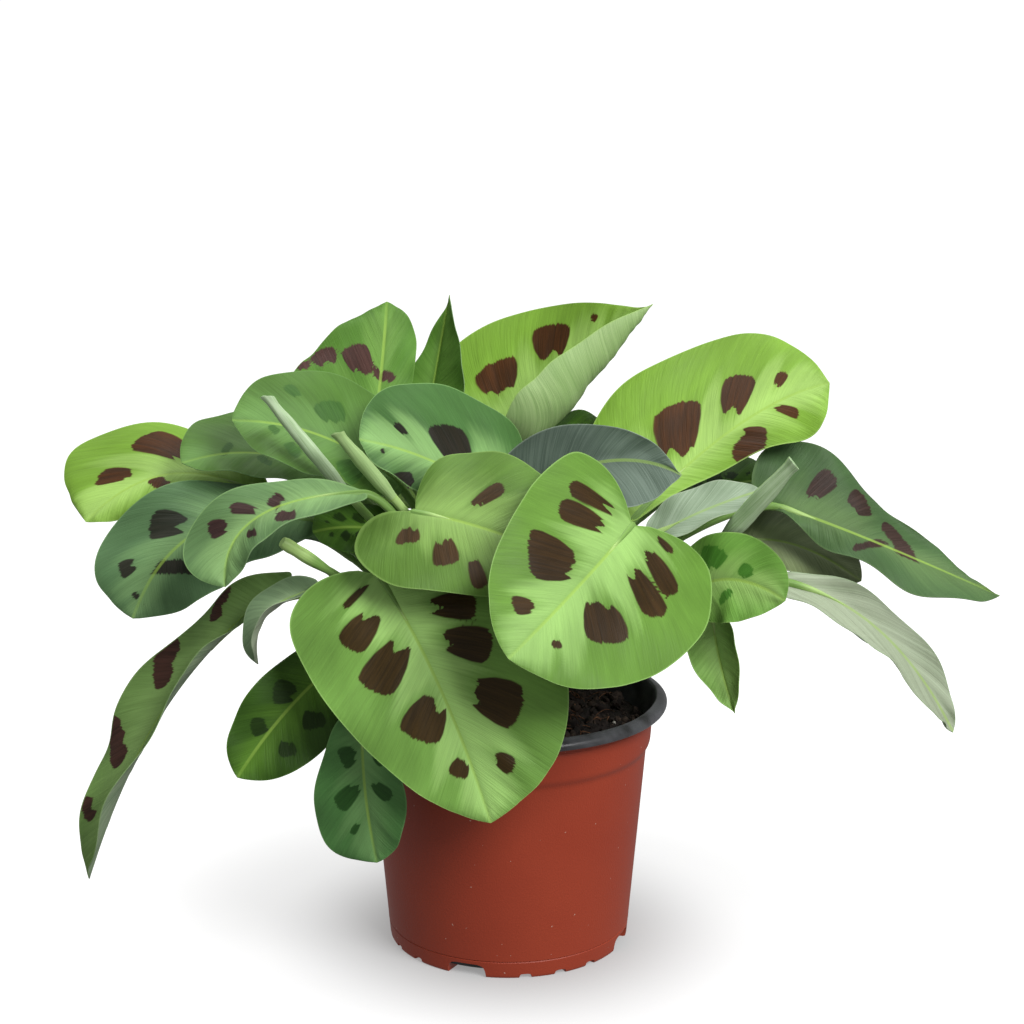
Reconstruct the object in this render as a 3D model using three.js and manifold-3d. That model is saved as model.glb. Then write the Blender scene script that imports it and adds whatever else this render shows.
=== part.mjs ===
// A prayer plant with spotted leaves, growing in a 12 cm nursery pot.
// Millimetres, +Z up. The pot stands on z = 0 with its axis on the Z axis, and the front is at -Y.

import * as THREE from "three";
import { mergeVertices } from "three/addons/utils/BufferGeometryUtils.js";
import Module from "manifold-3d";

const wasm = await Module();
wasm.setup();
const { Manifold, Mesh: SolidMesh } = wasm;

// ---- Driving dimensions ----

const CLEARANCE = 0.3; // gap between neighbouring pieces
const MERGE = 1e-3; // corners closer than this are one corner

const POT = {
  height: 96, // top of the lip
  lipRadius: 60,
  lipDrop: 3, // how far the outer edge of the lip hangs below its top
  lipThickness: 1,
  mouthRadius: 55.6, // inner edge of the lip
  edge: 0.6, // rounding of the lip and the foot
  collarRadius: 54.6, // the straight band under the lip, at its top
  collarFootRadius: 53.8,
  collarBottom: 78.5,
  shoulderBottom: 75.5, // where the collar has stepped in to the tapering wall
  shoulderRadius: 52.2,
  footRadius: 45.6,
  footHeight: 6.5, // the band at the bottom that the notches cut
  wall: 1.3,
  floor: 3,
  segments: 40,
};

const NOTCH = {
  bigAngles: [-20, 70, 160, 250], // degrees round the foot from the front
  smallSteps: [28, 45, 62], // degrees from each big notch
  bigWidth: 15,
  bigHeight: 5,
  bigInner: 37, // the big notches cut the floor from here out, as drains
  smallWidth: 4.6,
  smallHeight: 1.7,
  smallInner: 24,
  overrun: 5, // how far each cut runs out past the foot
};

const SOIL = {
  bottom: POT.floor + CLEARANCE,
  top: 83,
  crown: 3, // how much higher it is in the middle
  lump: 0.9, // height of its unevenness
  rings: 4,
};

const STALK = {
  radius: 1.5,
  sides: 6,
  steps: 6, // rings from the soil to the blade
  straight: 3, // how far it rises straight out of the soil
  spring: 0.4, // how strongly it keeps on upwards, as a share of its reach
  arrival: 0.14, // how strongly it comes in along the midrib, likewise
  underBlade: 0.14, // how far it runs on under the blade, as a share of the midrib
  endShare: 0.6, // its thickness there
  holeDepth: 14,
  holeGap: 2 * CLEARANCE, // between the stalk and its hole
  holeSides: 8,
};

const BLADE = {
  thickness: 0.7,
  fullness: 0.78, // the power of the outline: below 1 it is fuller than an ellipse
  point: 0.05, // length of the small tip, as a share of the midrib
  pointPower: 14, // how suddenly the tip runs out
  bowRise: 0.45, // how quickly the rows bow back near the base; below 1 rounds the lobes
  bowFall: 1.3, // how quickly that eases off towards the tip
  ripples: 3.5, // waves along each edge
  ripplePhase: 2, // how far the waves of the two edges are out of step
  rowSpacing: 10, // distance between cross rows
  leastRows: 6,
  columnSpacing: 16,
  leastColumns: 2, // on each side of the midrib
  clearOfEnds: 0.03, // the share at each end where the last good normal is kept
};

// A rolled leaf's radius: the share of its length, and the share of its greatest radius there.
const SWELL = [
  [0.25, 1],
  [0.6, 0.9],
];

const COLOUR = {
  terracotta: 0x9b3c28,
  soil: 0x2e221c,
  lime: 0x8dbb45,
  green: 0x6fa84a,
  blueGreen: 0x5f8f63,
  darkGreen: 0x2f5d2c,
  underside: 0x93a896,
};

// ---- The leaves ----
//
// root is where the stalk enters the soil. base, mid and tip are points of the midrib: where the blade
// starts, halfway and the end. face is the direction that the upper side looks in at the middle of the
// blade, wave the height of the ripples of the edge, and twist the angle in degrees that the blade turns
// about its midrib from base to tip. left and right are the two halves, seen from above with the tip
// pointing away. width is the half's greatest width and widest where along the leaf that is (0 base,
// 1 tip). fold is the angle that it rises from the midrib, curl the further angle to its edge, and lobe
// how far it reaches back past the base. fullness, where it is given, is the power of its outline.

const LEAVES = [
  {
    name: "leaf_front_low", colour: "green", root: [-18, -24], wave: 1.5,
    base: [-46, -36, 151], mid: [-24, -62, 118], tip: [-6, -76, 73], face: [-0.14, -0.91, 0.4],
    left: { width: 45, widest: 0.55, fold: 8, curl: -12, lobe: 0.14, fullness: 0.85 },
    right: { width: 40, widest: 0.35, fold: 8, curl: -12, lobe: 0.34, fullness: 0.88 },
  },
  {
    name: "leaf_front_mid", colour: "green", root: [-9, -17], wave: 1.5,
    base: [-33, -34, 174], mid: [-3, -46, 169], tip: [29, -54, 157], face: [0.02, -0.71, 0.71],
    left: { width: 31, widest: 0.4, fold: 6, curl: -10, lobe: 0.12 },
    right: { width: 31, widest: 0.45, fold: 6, curl: -12, lobe: 0.6, fullness: 1.2 },
  },
  {
    name: "leaf_front_big", colour: "green", root: [12, -22], wave: 1.5,
    base: [44, -34, 169], mid: [23, -72, 156], tip: [0, -100, 140], face: [0.45, -0.6, 0.67],
    left: { width: 43, widest: 0.42, fold: 8, curl: -12, lobe: 0.3, fullness: 0.78 },
    right: { width: 36, widest: 0.35, fold: 8, curl: -12, lobe: 0.36, fullness: 0.72 },
  },
  {
    name: "leaf_centre", colour: "blueGreen", root: [-3, -1], wave: 1.2,
    base: [-1, 1.5, 169], mid: [-28, -4, 186], tip: [-54, -14, 196], face: [0.5, -0.5, 0.7],
    left: { width: 14, widest: 0.55, fold: -6, curl: -14, lobe: 0.1 },
    right: { width: 40.5, widest: 0.36, fold: 8, curl: -12, lobe: 0.1 },
  },
  {
    name: "leaf_left_upper", colour: "green", root: [-12, 2], wave: 1.2,
    base: [-42, 8, 176], mid: [-70, 4, 194], tip: [-101, -4, 201], face: [0.42, -0.56, 0.72],
    left: { width: 21, widest: 0.6, fold: 8, curl: -8, lobe: 0.15 },
    right: { width: 31, widest: 0.42, fold: 8, curl: -10, lobe: 0.15 },
  },
  {
    name: "leaf_left_upper_rear", colour: "green", root: [-14, 9], wave: 1.2,
    base: [-62, 24, 171], mid: [-92, 22, 183], tip: [-122, 10, 182], face: [0.25, -0.39, 0.89],
    left: { width: 14, widest: 0.5, fold: 4, curl: -8, lobe: 0.15 },
    right: { width: 27, widest: 0.5, fold: 6, curl: -10, lobe: 0.15 },
  },
  {
    name: "leaf_far_left", colour: "lime", root: [-20, 15], wave: 1.5,
    base: [-95, 27, 166], mid: [-130, 27, 174], tip: [-160, 16, 158], face: [-0.05, -0.47, 0.88],
    left: { width: 17, widest: 0.5, fold: 0, curl: -14, lobe: 0.15 },
    right: { width: 43, widest: 0.78, fold: 0, curl: -14, lobe: 0.15, fullness: 0.95 },
  },
  {
    name: "leaf_left_mid", colour: "blueGreen", root: [-21, 4], wave: 2,
    base: [-74, 8, 161], mid: [-114, -6, 160], tip: [-137, -22, 131], face: [0.01, -0.7, 0.72],
    left: { width: 22, widest: 0.65, fold: -8, curl: -12, lobe: 0.1 },
    right: { width: 27, widest: 0.75, fold: 0, curl: -12, lobe: 0.1 },
  },
  {
    name: "leaf_left_small", colour: "blueGreen", root: [-16, -15], wave: 1,
    base: [-52, -29, 180], mid: [-89, -40, 173], tip: [-99, -51, 151], face: [-0.16, -0.62, 0.77],
    left: { width: 13, widest: 0.55, fold: 22, curl: -8, lobe: 0.05 },
    right: { width: 17, widest: 0.78, fold: 14, curl: -10, lobe: 0.05 },
  },
  {
    name: "leaf_left_drooping", colour: "green", root: [-29, 8], wave: 2.5,
    base: [-84, 6, 136], mid: [-128, -6, 93], tip: [-159, -14, 26], face: [-0.73, -0.39, 0.56],
    left: { width: 17, widest: 0.8, fold: 20, curl: 20, lobe: 0.1 },
    right: { width: 18, widest: 0.6, fold: 24, curl: 10, lobe: 0.1 },
  },
  {
    name: "leaf_left_curled", colour: "underside", root: [-29, -3], wave: 0.5,
    base: [-71, -16, 140], mid: [-89, -18, 131], tip: [-92, -20, 113], face: [-0.77, -0.33, 0.55],
    left: { width: 13, widest: 0.5, fold: 20, curl: 20, lobe: 0.1 },
    right: { width: 9, widest: 0.5, fold: 20, curl: 20, lobe: 0.1 },
  },
  {
    name: "leaf_low_left", colour: "darkGreen", root: [-30, -12], wave: 1.2,
    base: [-60, -26, 118], mid: [-81, -34, 99], tip: [-98, -42, 77], face: [-0.06, -0.91, 0.41],
    left: { width: 20, widest: 0.5, fold: 6, curl: -8, lobe: 0.15 },
    right: { width: 15, widest: 0.55, fold: 6, curl: -8, lobe: 0.15 },
  },
  {
    name: "leaf_low_mid", colour: "blueGreen", root: [-26, -24], wave: 1,
    base: [-52, -50, 103], mid: [-51, -54, 76], tip: [-47, -56, 50], face: [-0.39, -0.92, 0.06],
    left: { width: 16, widest: 0.55, fold: 6, curl: -8, lobe: 0.15 },
    right: { width: 21, widest: 0.72, fold: 6, curl: -8, lobe: 0.15, fullness: 0.7 },
  },
  {
    name: "leaf_top_left", colour: "green", root: [-9, 15], wave: 1.5,
    base: [-51, 36, 193], mid: [-49, 52, 214], tip: [-48, 70, 234], face: [-0.03, -0.57, 0.82],
    left: { width: 38, widest: 0.22, fold: 4, curl: -8, lobe: 0.2, fullness: 1.05 },
    right: { width: 13, widest: 0.6, fold: 0, curl: -12, lobe: 0.15 },
  },
  {
    name: "leaf_top_folded", colour: "green", root: [-5, 9], wave: 1,
    base: [-32, 54, 188], mid: [-28, 61, 211], tip: [-23, 61, 238], face: [-0.3, -0.85, 0.4],
    left: { width: 15, widest: 0.2, fold: 45, curl: 16, lobe: 0.1, fullness: 2 },
    right: { width: 24, widest: 0.3, fold: 30, curl: 16, lobe: 0.1, fullness: 1.4 },
  },
  {
    name: "leaf_top_big", colour: "lime", root: [3, 6], wave: 0.8,
    base: [-3, 54.5, 176], mid: [24, 69.5, 206], tip: [56, 57, 235], face: [-0.45, -0.7, 0.55],
    left: { width: 46, widest: 0.3, fold: 16, curl: -8, lobe: 0.15, fullness: 2 },
    right: { width: 52, widest: 0.32, fold: -10, curl: 150, lobe: 0.1, fullness: 1 },
  },
  {
    name: "leaf_right_big", colour: "lime", root: [11, 3], wave: 1.2,
    base: [48, -2, 166], mid: [87, 16, 196], tip: [120, 18, 211], face: [-0.29, -0.61, 0.74],
    left: { width: 50, widest: 0.48, fold: 4, curl: -10, lobe: 0.2, fullness: 1.15 },
    right: { width: 19, widest: 0.82, fold: -6, curl: -12, lobe: 0.1 },
  },
  {
    name: "leaf_centre_turned", colour: "underside", root: [7, -5], wave: 0.8,
    base: [2, -4, 172], mid: [35, -10, 187], tip: [63, -14, 183], face: [0.17, 0.9, -0.3],
    left: { width: 20, widest: 0.6, fold: -10, curl: -20, lobe: 0.1 },
    right: { width: 17, widest: 0.3, fold: -10, curl: -20, lobe: 0.1, fullness: 1.5 },
  },
  {
    name: "leaf_right_turned", colour: "underside", root: [12, -4], wave: 0.8,
    base: [53, -13, 159], mid: [70, -15, 169], tip: [92, -14, 177], face: [0.49, 0.47, -0.73],
    left: { width: 12, widest: 0.5, fold: -10, curl: -20, lobe: 0.1 },
    right: { width: 11, widest: 0.5, fold: -10, curl: -20, lobe: 0.1 },
  },
  {
    name: "leaf_right_long", colour: "green", root: [16, 3], wave: 2.5, twist: -40,
    base: [101, 4, 167], mid: [134, -4, 156], tip: [180, -16, 138], face: [0.1, -0.5, 0.86],
    left: { width: 29, widest: 0.36, fold: 6, curl: -8, lobe: 0.55, fullness: 2 },
    right: { width: 16, widest: 0.82, fold: -4, curl: -10, lobe: 0.1 },
  },
  {
    name: "leaf_right_rear", colour: "underside", root: [18, 10], wave: 1,
    base: [90, 18, 150], mid: [110, 14, 149], tip: [133, 8, 137], face: [0.12, -0.56, 0.82],
    left: { width: 18, widest: 0.5, fold: 6, curl: -8, lobe: 0.15 },
    right: { width: 16, widest: 0.5, fold: 6, curl: -8, lobe: 0.15 },
  },
  {
    name: "leaf_right_drooping", colour: "underside", root: [17, -4], wave: 1.5,
    base: [102, -10, 141], mid: [136, -18, 125], tip: [163, -27, 89], face: [-0.38, 0.68, -0.63],
    left: { width: 15, widest: 0.45, fold: -12, curl: -30, lobe: 0.1 },
    right: { width: 10, widest: 0.6, fold: -12, curl: -30, lobe: 0.1 },
  },
  {
    name: "leaf_right_small", colour: "green", root: [16, -17], wave: 1,
    base: [66, -23, 142], mid: [81, -34, 149], tip: [98, -44, 144], face: [-0.4, -0.85, 0.35],
    left: { width: 17, widest: 0.5, fold: 6, curl: -8, lobe: 0.2 },
    right: { width: 16, widest: 0.5, fold: 6, curl: -8, lobe: 0.2 },
  },
  {
    name: "leaf_right_low", colour: "underside", root: [17, -10], wave: 0.8,
    base: [75, -15, 130], mid: [78, -20, 113], tip: [83, -26, 96], face: [-0.51, -0.86, 0.1],
    left: { width: 12, widest: 0.35, fold: 20, curl: 16, lobe: 0.1, fullness: 1.2 },
    right: { width: 12, widest: 0.25, fold: 20, curl: 16, lobe: 0.1, fullness: 1.3 },
  },
  {
    name: "leaf_inner_rear", colour: "darkGreen", root: [8, 10], wave: 1,
    base: [4, 46, 171], mid: [20, 52, 182], tip: [36, 50, 187], face: [-0.37, -0.34, 0.86],
    left: { width: 18, widest: 0.5, fold: 6, curl: -8, lobe: 0.15 },
    right: { width: 18, widest: 0.5, fold: 6, curl: -8, lobe: 0.15 },
  },
  {
    name: "leaf_inner_right", colour: "darkGreen", root: [17, 18], wave: 1,
    base: [70, 30, 163], mid: [85, 34, 168], tip: [99, 32, 171], face: [-0.18, -0.48, 0.86],
    left: { width: 16, widest: 0.5, fold: 6, curl: -8, lobe: 0.15 },
    right: { width: 16, widest: 0.5, fold: 6, curl: -8, lobe: 0.15 },
  },
  {
    name: "leaf_inner_left", colour: "darkGreen", root: [-19, -3], wave: 1,
    base: [-44, 2, 158], mid: [-59, -4, 161], tip: [-72, -8, 160], face: [0.22, -0.6, 0.77],
    left: { width: 11, widest: 0.5, fold: 0, curl: -8, lobe: 0.15 },
    right: { width: 13, widest: 0.5, fold: 0, curl: -8, lobe: 0.15 },
  },
  {
    name: "leaf_back_centre", colour: "green", root: [4, 24], wave: 1.5,
    base: [6, 60, 158], mid: [12, 100, 152], tip: [16, 138, 122], face: [0.05, 0.45, 0.89],
    left: { width: 34, widest: 0.45, fold: 8, curl: -10, lobe: 0.2 },
    right: { width: 34, widest: 0.45, fold: 8, curl: -10, lobe: 0.2 },
  },
  {
    name: "leaf_back_left", colour: "lime", root: [-9, 27], wave: 1.5,
    base: [-46, 66, 152], mid: [-72, 98, 148], tip: [-94, 124, 122], face: [-0.35, 0.4, 0.85],
    left: { width: 32, widest: 0.45, fold: 8, curl: -10, lobe: 0.2 },
    right: { width: 32, widest: 0.45, fold: 8, curl: -10, lobe: 0.2 },
  },
  {
    name: "leaf_back_right", colour: "green", root: [14, 26], wave: 1.5,
    base: [62, 64, 156], mid: [92, 90, 154], tip: [120, 108, 132], face: [0.38, 0.35, 0.86],
    left: { width: 31, widest: 0.45, fold: 8, curl: -10, lobe: 0.2 },
    right: { width: 31, widest: 0.45, fold: 8, curl: -10, lobe: 0.2 },
  },
  {
    name: "leaf_back_upper_left", colour: "green", root: [-15, 22], wave: 1.5,
    base: [-46, 56, 176], mid: [-70, 84, 174], tip: [-90, 104, 156], face: [-0.3, 0.35, 0.9],
    left: { width: 28, widest: 0.45, fold: 8, curl: -10, lobe: 0.2 },
    right: { width: 28, widest: 0.45, fold: 8, curl: -10, lobe: 0.2 },
  },
  {
    name: "leaf_back_upper_right", colour: "lime", root: [10, 18], wave: 1.5,
    base: [37, 58, 172], mid: [59, 86, 175], tip: [74, 108, 162], face: [0.3, 0.35, 0.9],
    left: { width: 28, widest: 0.45, fold: 8, curl: -10, lobe: 0.2 },
    right: { width: 28, widest: 0.45, fold: 8, curl: -10, lobe: 0.2 },
  },
  {
    name: "leaf_back_mid_left", colour: "blueGreen", root: [-27, 20], wave: 1.2,
    base: [-72, 46, 144], mid: [-102, 62, 144], tip: [-126, 74, 124], face: [-0.3, 0.3, 0.9],
    left: { width: 24, widest: 0.45, fold: 8, curl: -10, lobe: 0.2 },
    right: { width: 24, widest: 0.45, fold: 8, curl: -10, lobe: 0.2 },
  },
  {
    name: "leaf_back_mid_right", colour: "green", root: [21, 22], wave: 1.2,
    base: [82, 46, 136], mid: [110, 60, 136], tip: [134, 70, 116], face: [0.3, 0.3, 0.9],
    left: { width: 23, widest: 0.45, fold: 8, curl: -10, lobe: 0.2 },
    right: { width: 23, widest: 0.45, fold: 8, curl: -10, lobe: 0.2 },
  },
  {
    name: "leaf_back_low_left", colour: "blueGreen", root: [-18, 30], wave: 1.2,
    base: [-34, 62, 116], mid: [-44, 84, 100], tip: [-50, 98, 70], face: [-0.4, 0.75, 0.5],
    left: { width: 24, widest: 0.45, fold: 8, curl: -10, lobe: 0.2 },
    right: { width: 24, widest: 0.45, fold: 8, curl: -10, lobe: 0.2 },
  },
  {
    name: "leaf_back_low_right", colour: "darkGreen", root: [12, 34], wave: 1.2,
    base: [28, 64, 112], mid: [34, 86, 94], tip: [36, 98, 64], face: [0.3, 0.8, 0.5],
    left: { width: 24, widest: 0.45, fold: 8, curl: -10, lobe: 0.2 },
    right: { width: 24, widest: 0.45, fold: 8, curl: -10, lobe: 0.2 },
  },
];

// Young leaves that are still rolled up into a spindle, and a stalk that has lost its leaf.
const SPINDLES = [
  {
    name: "leaf_rolled_left_long", colour: "underside", root: [-13, -4],
    base: [-58, -16, 176], tip: [-87, -20, 214], radius: 2.4, point: 0.3,
  },
  {
    name: "leaf_rolled_left_short", colour: "lime", root: [-8, -8],
    base: [-41, -26, 177], tip: [-61, -32, 203], radius: 2.6, point: 0.5,
  },
  {
    name: "leaf_rolled_right", colour: "green", root: [12, -10],
    base: [78, -20, 160], tip: [101, -39, 194], radius: 3.6, point: 0.5,
  },
  {
    name: "stalk_cut", colour: "lime", root: [-22, -13],
    base: [-64, -24, 149], tip: [-81, -30, 162], radius: 2.6, point: 2.1,
  },
];

// ---- Solids ----

const radians = THREE.MathUtils.degToRad;
const vector = (values) => new THREE.Vector3(...values);

// A geometry as a manifold solid, with its shared corners merged and its empty triangles dropped.
function solidFromGeometry(geometry) {
  const bare = geometry.clone();
  bare.deleteAttribute("normal");
  bare.deleteAttribute("uv");
  const merged = mergeVertices(bare, MERGE);
  const kept = [];
  for (let i = 0; i < merged.index.count; i += 3) {
    const corners = [0, 1, 2].map((k) => merged.index.getX(i + k));
    if (new Set(corners).size === 3) kept.push(...corners);
  }
  return new Manifold(
    new SolidMesh({
      numProp: 3,
      vertProperties: merged.attributes.position.array,
      triVerts: new Uint32Array(kept),
    }),
  );
}

// A closed solid from a list of triangles, each three THREE.Vector3.
function solidFromTriangles(triangles) {
  const positions = triangles.flatMap((corners) => corners.flatMap((p) => [p.x, p.y, p.z]));
  const soup = new THREE.BufferGeometry();
  soup.setAttribute("position", new THREE.Float32BufferAttribute(positions, 3));
  return solidFromGeometry(soup);
}

function geometryFromSolid(solid) {
  const mesh = solid.getMesh();
  const geometry = new THREE.BufferGeometry();
  geometry.setAttribute("position", new THREE.BufferAttribute(mesh.vertProperties, 3));
  geometry.setIndex(new THREE.BufferAttribute(mesh.triVerts, 1));
  geometry.computeVertexNormals();
  return geometry;
}

// A profile of [radius, height] pairs turned about the Z axis.
function lathe(profile) {
  const outline = profile.map(([radius, height]) => new THREE.Vector2(radius, height));
  const geometry = new THREE.LatheGeometry(outline, POT.segments);
  geometry.rotateX(Math.PI / 2);
  return geometry;
}

// A skin stretched over rings of the same number of points, with both ends closed. The second half
// of each ring is split along the other diagonal, so that the two faces of a blade crease alike.
function loft(rings) {
  const count = rings[0].length;
  const triangles = [];
  for (let i = 0; i + 1 < rings.length; i++) {
    for (let j = 0; j < count; j++) {
      const next = (j + 1) % count;
      const [a, b, c, d] = [rings[i][j], rings[i][next], rings[i + 1][next], rings[i + 1][j]];
      if (j < count / 2) triangles.push([a, b, c], [a, c, d]);
      else triangles.push([a, b, d], [b, c, d]);
    }
  }
  const first = rings[0];
  const last = rings[rings.length - 1];
  for (let j = 1; j + 1 < count; j++) {
    triangles.push([first[0], first[j + 1], first[j]]);
    triangles.push([last[0], last[j], last[j + 1]]);
  }
  return solidFromTriangles(triangles);
}

// ---- The blade of a leaf ----

// The midrib is the parabola through base, mid and tip; t runs from 0 to 1 along it.
function midrib(leaf) {
  const [base, mid, tip] = [vector(leaf.base), vector(leaf.mid), vector(leaf.tip)];
  const handle = mid.clone().multiplyScalar(2).addScaledVector(base, -0.5).addScaledVector(tip, -0.5);
  const curve = new THREE.QuadraticBezierCurve3(base, handle, tip);
  const [setOff, runIn] = [handle.clone().sub(base), tip.clone().sub(handle)];
  return {
    point: (t) => curve.getPoint(t),
    tangent: (t) => setOff.clone().multiplyScalar(1 - t).addScaledVector(runIn, t).normalize(),
    length: curve.getLength(),
  };
}

// The point of the blade's middle surface at row s (0 base, 1 tip) and column v (-1 left edge, 1 right).
// Each row bows back towards the edge, which rounds the base into lobes, and the last rows reach out
// into the small tip.
function bladePoint(leaf, rib, s, v) {
  const half = v < 0 ? leaf.left : leaf.right;
  const across = Math.abs(v);
  const along = (1 - Math.cos(Math.PI * s)) / 2;
  const bow = half.lobe * Math.sin(Math.PI * s) ** BLADE.bowRise * (1 - s) ** BLADE.bowFall;
  const reach = (along + BLADE.point * s ** BLADE.pointPower) / (1 + BLADE.point);
  const t = reach - bow * across ** 2;

  const widestRow = Math.acos(1 - 2 * half.widest) / Math.PI;
  const warped = s ** (Math.log(0.5) / Math.log(widestRow));
  const width = half.width * Math.sin(Math.PI * warped) ** (half.fullness ?? BLADE.fullness);
  const [fold, curl] = [radians(half.fold), radians(half.curl)];
  const out = (width * (Math.sin(fold + curl * across) - Math.sin(fold))) / curl;
  const rise = (width * (Math.cos(fold) - Math.cos(fold + curl * across))) / curl;
  const phase = 2 * Math.PI * BLADE.ripples * s + BLADE.ripplePhase * Math.sign(v);
  const ripple = leaf.wave * across ** 2 * Math.sin(Math.PI * s) * Math.sin(phase);

  const tangent = rib.tangent(t);
  const face = vector(leaf.face);
  const normal = face.clone().addScaledVector(tangent, -tangent.dot(face)).normalize();
  normal.applyAxisAngle(tangent, radians((leaf.twist ?? 0) * (t - 0.5)));
  const side = tangent.clone().cross(normal);
  return rib
    .point(t)
    .addScaledVector(side, Math.sign(v) * out)
    .addScaledVector(normal, rise + ripple);
}

// The direction square to the blade at row s and column v, from a small step each way.
function bladeNormal(leaf, rib, s, v) {
  const step = 1e-3;
  const row = Math.min(Math.max(s, BLADE.clearOfEnds), 1 - BLADE.clearOfEnds);
  const alongRow = bladePoint(leaf, rib, row, v + step).sub(bladePoint(leaf, rib, row, v - step));
  const alongRib = bladePoint(leaf, rib, row + step, v).sub(bladePoint(leaf, rib, row - step, v));
  return alongRow.cross(alongRib).normalize();
}

function bladeSolid(leaf, rib) {
  const widest = Math.max(leaf.left.width, leaf.right.width);
  const rows = Math.max(BLADE.leastRows, Math.round(rib.length / BLADE.rowSpacing));
  const columns = Math.max(BLADE.leastColumns, Math.round(widest / BLADE.columnSpacing));
  const rings = [];
  for (let i = 0; i <= rows; i++) {
    const s = i / rows;
    const upper = [];
    const lower = [];
    for (let j = -columns; j <= columns; j++) {
      const v = j / columns;
      const middle = bladePoint(leaf, rib, s, v);
      const normal = bladeNormal(leaf, rib, s, v);
      upper.push(middle.clone().addScaledVector(normal, BLADE.thickness / 2));
      lower.unshift(middle.clone().addScaledVector(normal, -BLADE.thickness / 2));
    }
    if (i === 0 || i === rows) {
      upper.fill(upper[columns]);
      lower.fill(lower[columns]);
    }
    rings.push([...upper, ...lower]);
  }
  return loft(rings);
}

// ---- Stalks ----

function soilHeight(x, y) {
  const share = Math.min(Math.hypot(x, y) / POT.mouthRadius, 1);
  const lumps = Math.sin(0.31 * x + 1) * Math.cos(0.27 * y) + 0.6 * Math.sin(0.13 * x - 0.41 * y);
  return SOIL.top + SOIL.crown * (1 - share ** 2) + SOIL.lump * lumps * (1 - share ** 8);
}

const holeBottom = (root) => soilHeight(...root) - STALK.holeDepth;

// A round section of a stalk, standing square on its path.
function stalkRing(centre, tangent, radius) {
  const leansAway = Math.abs(tangent.y) < 0.98;
  const across = leansAway ? new THREE.Vector3(0, 1, 0) : new THREE.Vector3(1, 0, 0);
  across.cross(tangent).normalize();
  const other = tangent.clone().cross(across);
  const ring = [];
  for (let k = 0; k < STALK.sides; k++) {
    const angle = (2 * Math.PI * k) / STALK.sides;
    const point = centre.clone().addScaledVector(across, radius * Math.cos(angle));
    ring.push(point.addScaledVector(other, radius * Math.sin(angle)));
  }
  return ring;
}

// The rings of a stalk: one at the foot of its hole, one where it has risen clear of the soil, and the
// rest up one bend to the blade's base, where it comes in along the midrib.
function stalkRings(root, base, arrival) {
  const foot = new THREE.Vector3(...root, holeBottom(root) + CLEARANCE);
  const rise = new THREE.Vector3(...root, soilHeight(...root) + STALK.straight);
  const reach = rise.distanceTo(base);
  const upwards = new THREE.Vector3(0, 0, 1);
  const bend = new THREE.CubicBezierCurve3(
    rise,
    rise.clone().addScaledVector(upwards, STALK.spring * reach),
    base.clone().addScaledVector(arrival, -STALK.arrival * reach),
    base,
  );
  const rings = [stalkRing(foot, upwards, STALK.radius)];
  for (let i = 0; i <= STALK.steps; i++) {
    const t = i / STALK.steps;
    rings.push(stalkRing(bend.getPoint(t), bend.getTangent(t), STALK.radius));
  }
  return rings;
}

// The stalk of a leaf runs on a little way under its blade, where it thins out into the midrib.
function leafSolid(leaf) {
  const rib = midrib(leaf);
  const rings = stalkRings(leaf.root, rib.point(0), rib.tangent(0));
  const end = STALK.underBlade;
  rings.push(stalkRing(rib.point(end), rib.tangent(end), STALK.radius * STALK.endShare));
  return bladeSolid(leaf, rib).add(loft(rings));
}

// A rolled leaf swells above its stalk and narrows to its point; a cut stalk keeps most of its width.
function spindleSolid(spindle) {
  const base = vector(spindle.base);
  const tip = vector(spindle.tip);
  const arrival = tip.clone().sub(base).normalize();
  const rings = stalkRings(spindle.root, base, arrival);
  for (const [share, fatness] of SWELL) {
    rings.push(stalkRing(base.clone().lerp(tip, share), arrival, spindle.radius * fatness));
  }
  rings.push(stalkRing(tip, arrival, spindle.point));
  return loft(rings);
}

// ---- Pot and soil ----

// The wall's outer radius below the shoulder.
const wallRadius = (z) =>
  POT.footRadius + ((POT.shoulderRadius - POT.footRadius) * z) / POT.shoulderBottom;

// A radial block that cuts one notch out of the foot, at an angle from the front.
function notchCut(angle, width, height, inner) {
  const length = POT.footRadius + NOTCH.overrun - inner;
  const block = new THREE.BoxGeometry(length, width, 2 * height);
  block.translate(inner + length / 2, 0, 0);
  block.rotateZ(radians(angle - 90));
  return solidFromGeometry(block);
}

function potSolid() {
  const { height, wall, floor, edge } = POT;
  const lipUnderside = height - POT.lipDrop - POT.lipThickness;
  const profile = [
    [0, 0],
    [POT.footRadius - edge, 0],
    [POT.footRadius, edge],
    [wallRadius(POT.footHeight), POT.footHeight],
    [POT.shoulderRadius, POT.shoulderBottom],
    [POT.collarFootRadius, POT.collarBottom],
    [POT.collarRadius, lipUnderside],
    [POT.lipRadius - edge, lipUnderside],
    [POT.lipRadius, height - POT.lipDrop],
    [POT.mouthRadius + 4 * edge, height - edge],
    [POT.mouthRadius + edge, height],
    [POT.mouthRadius, height - edge],
    [POT.collarFootRadius - wall, POT.collarBottom],
    [POT.shoulderRadius - wall, POT.shoulderBottom],
    [wallRadius(floor) - wall, floor],
    [0, floor],
  ];
  const cuts = [];
  for (const big of NOTCH.bigAngles) {
    cuts.push(notchCut(big, NOTCH.bigWidth, NOTCH.bigHeight, NOTCH.bigInner));
    for (const step of NOTCH.smallSteps) {
      cuts.push(notchCut(big + step, NOTCH.smallWidth, NOTCH.smallHeight, NOTCH.smallInner));
    }
  }
  return cuts.reduce((pot, cut) => pot.subtract(cut), solidFromGeometry(lathe(profile)));
}

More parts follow.
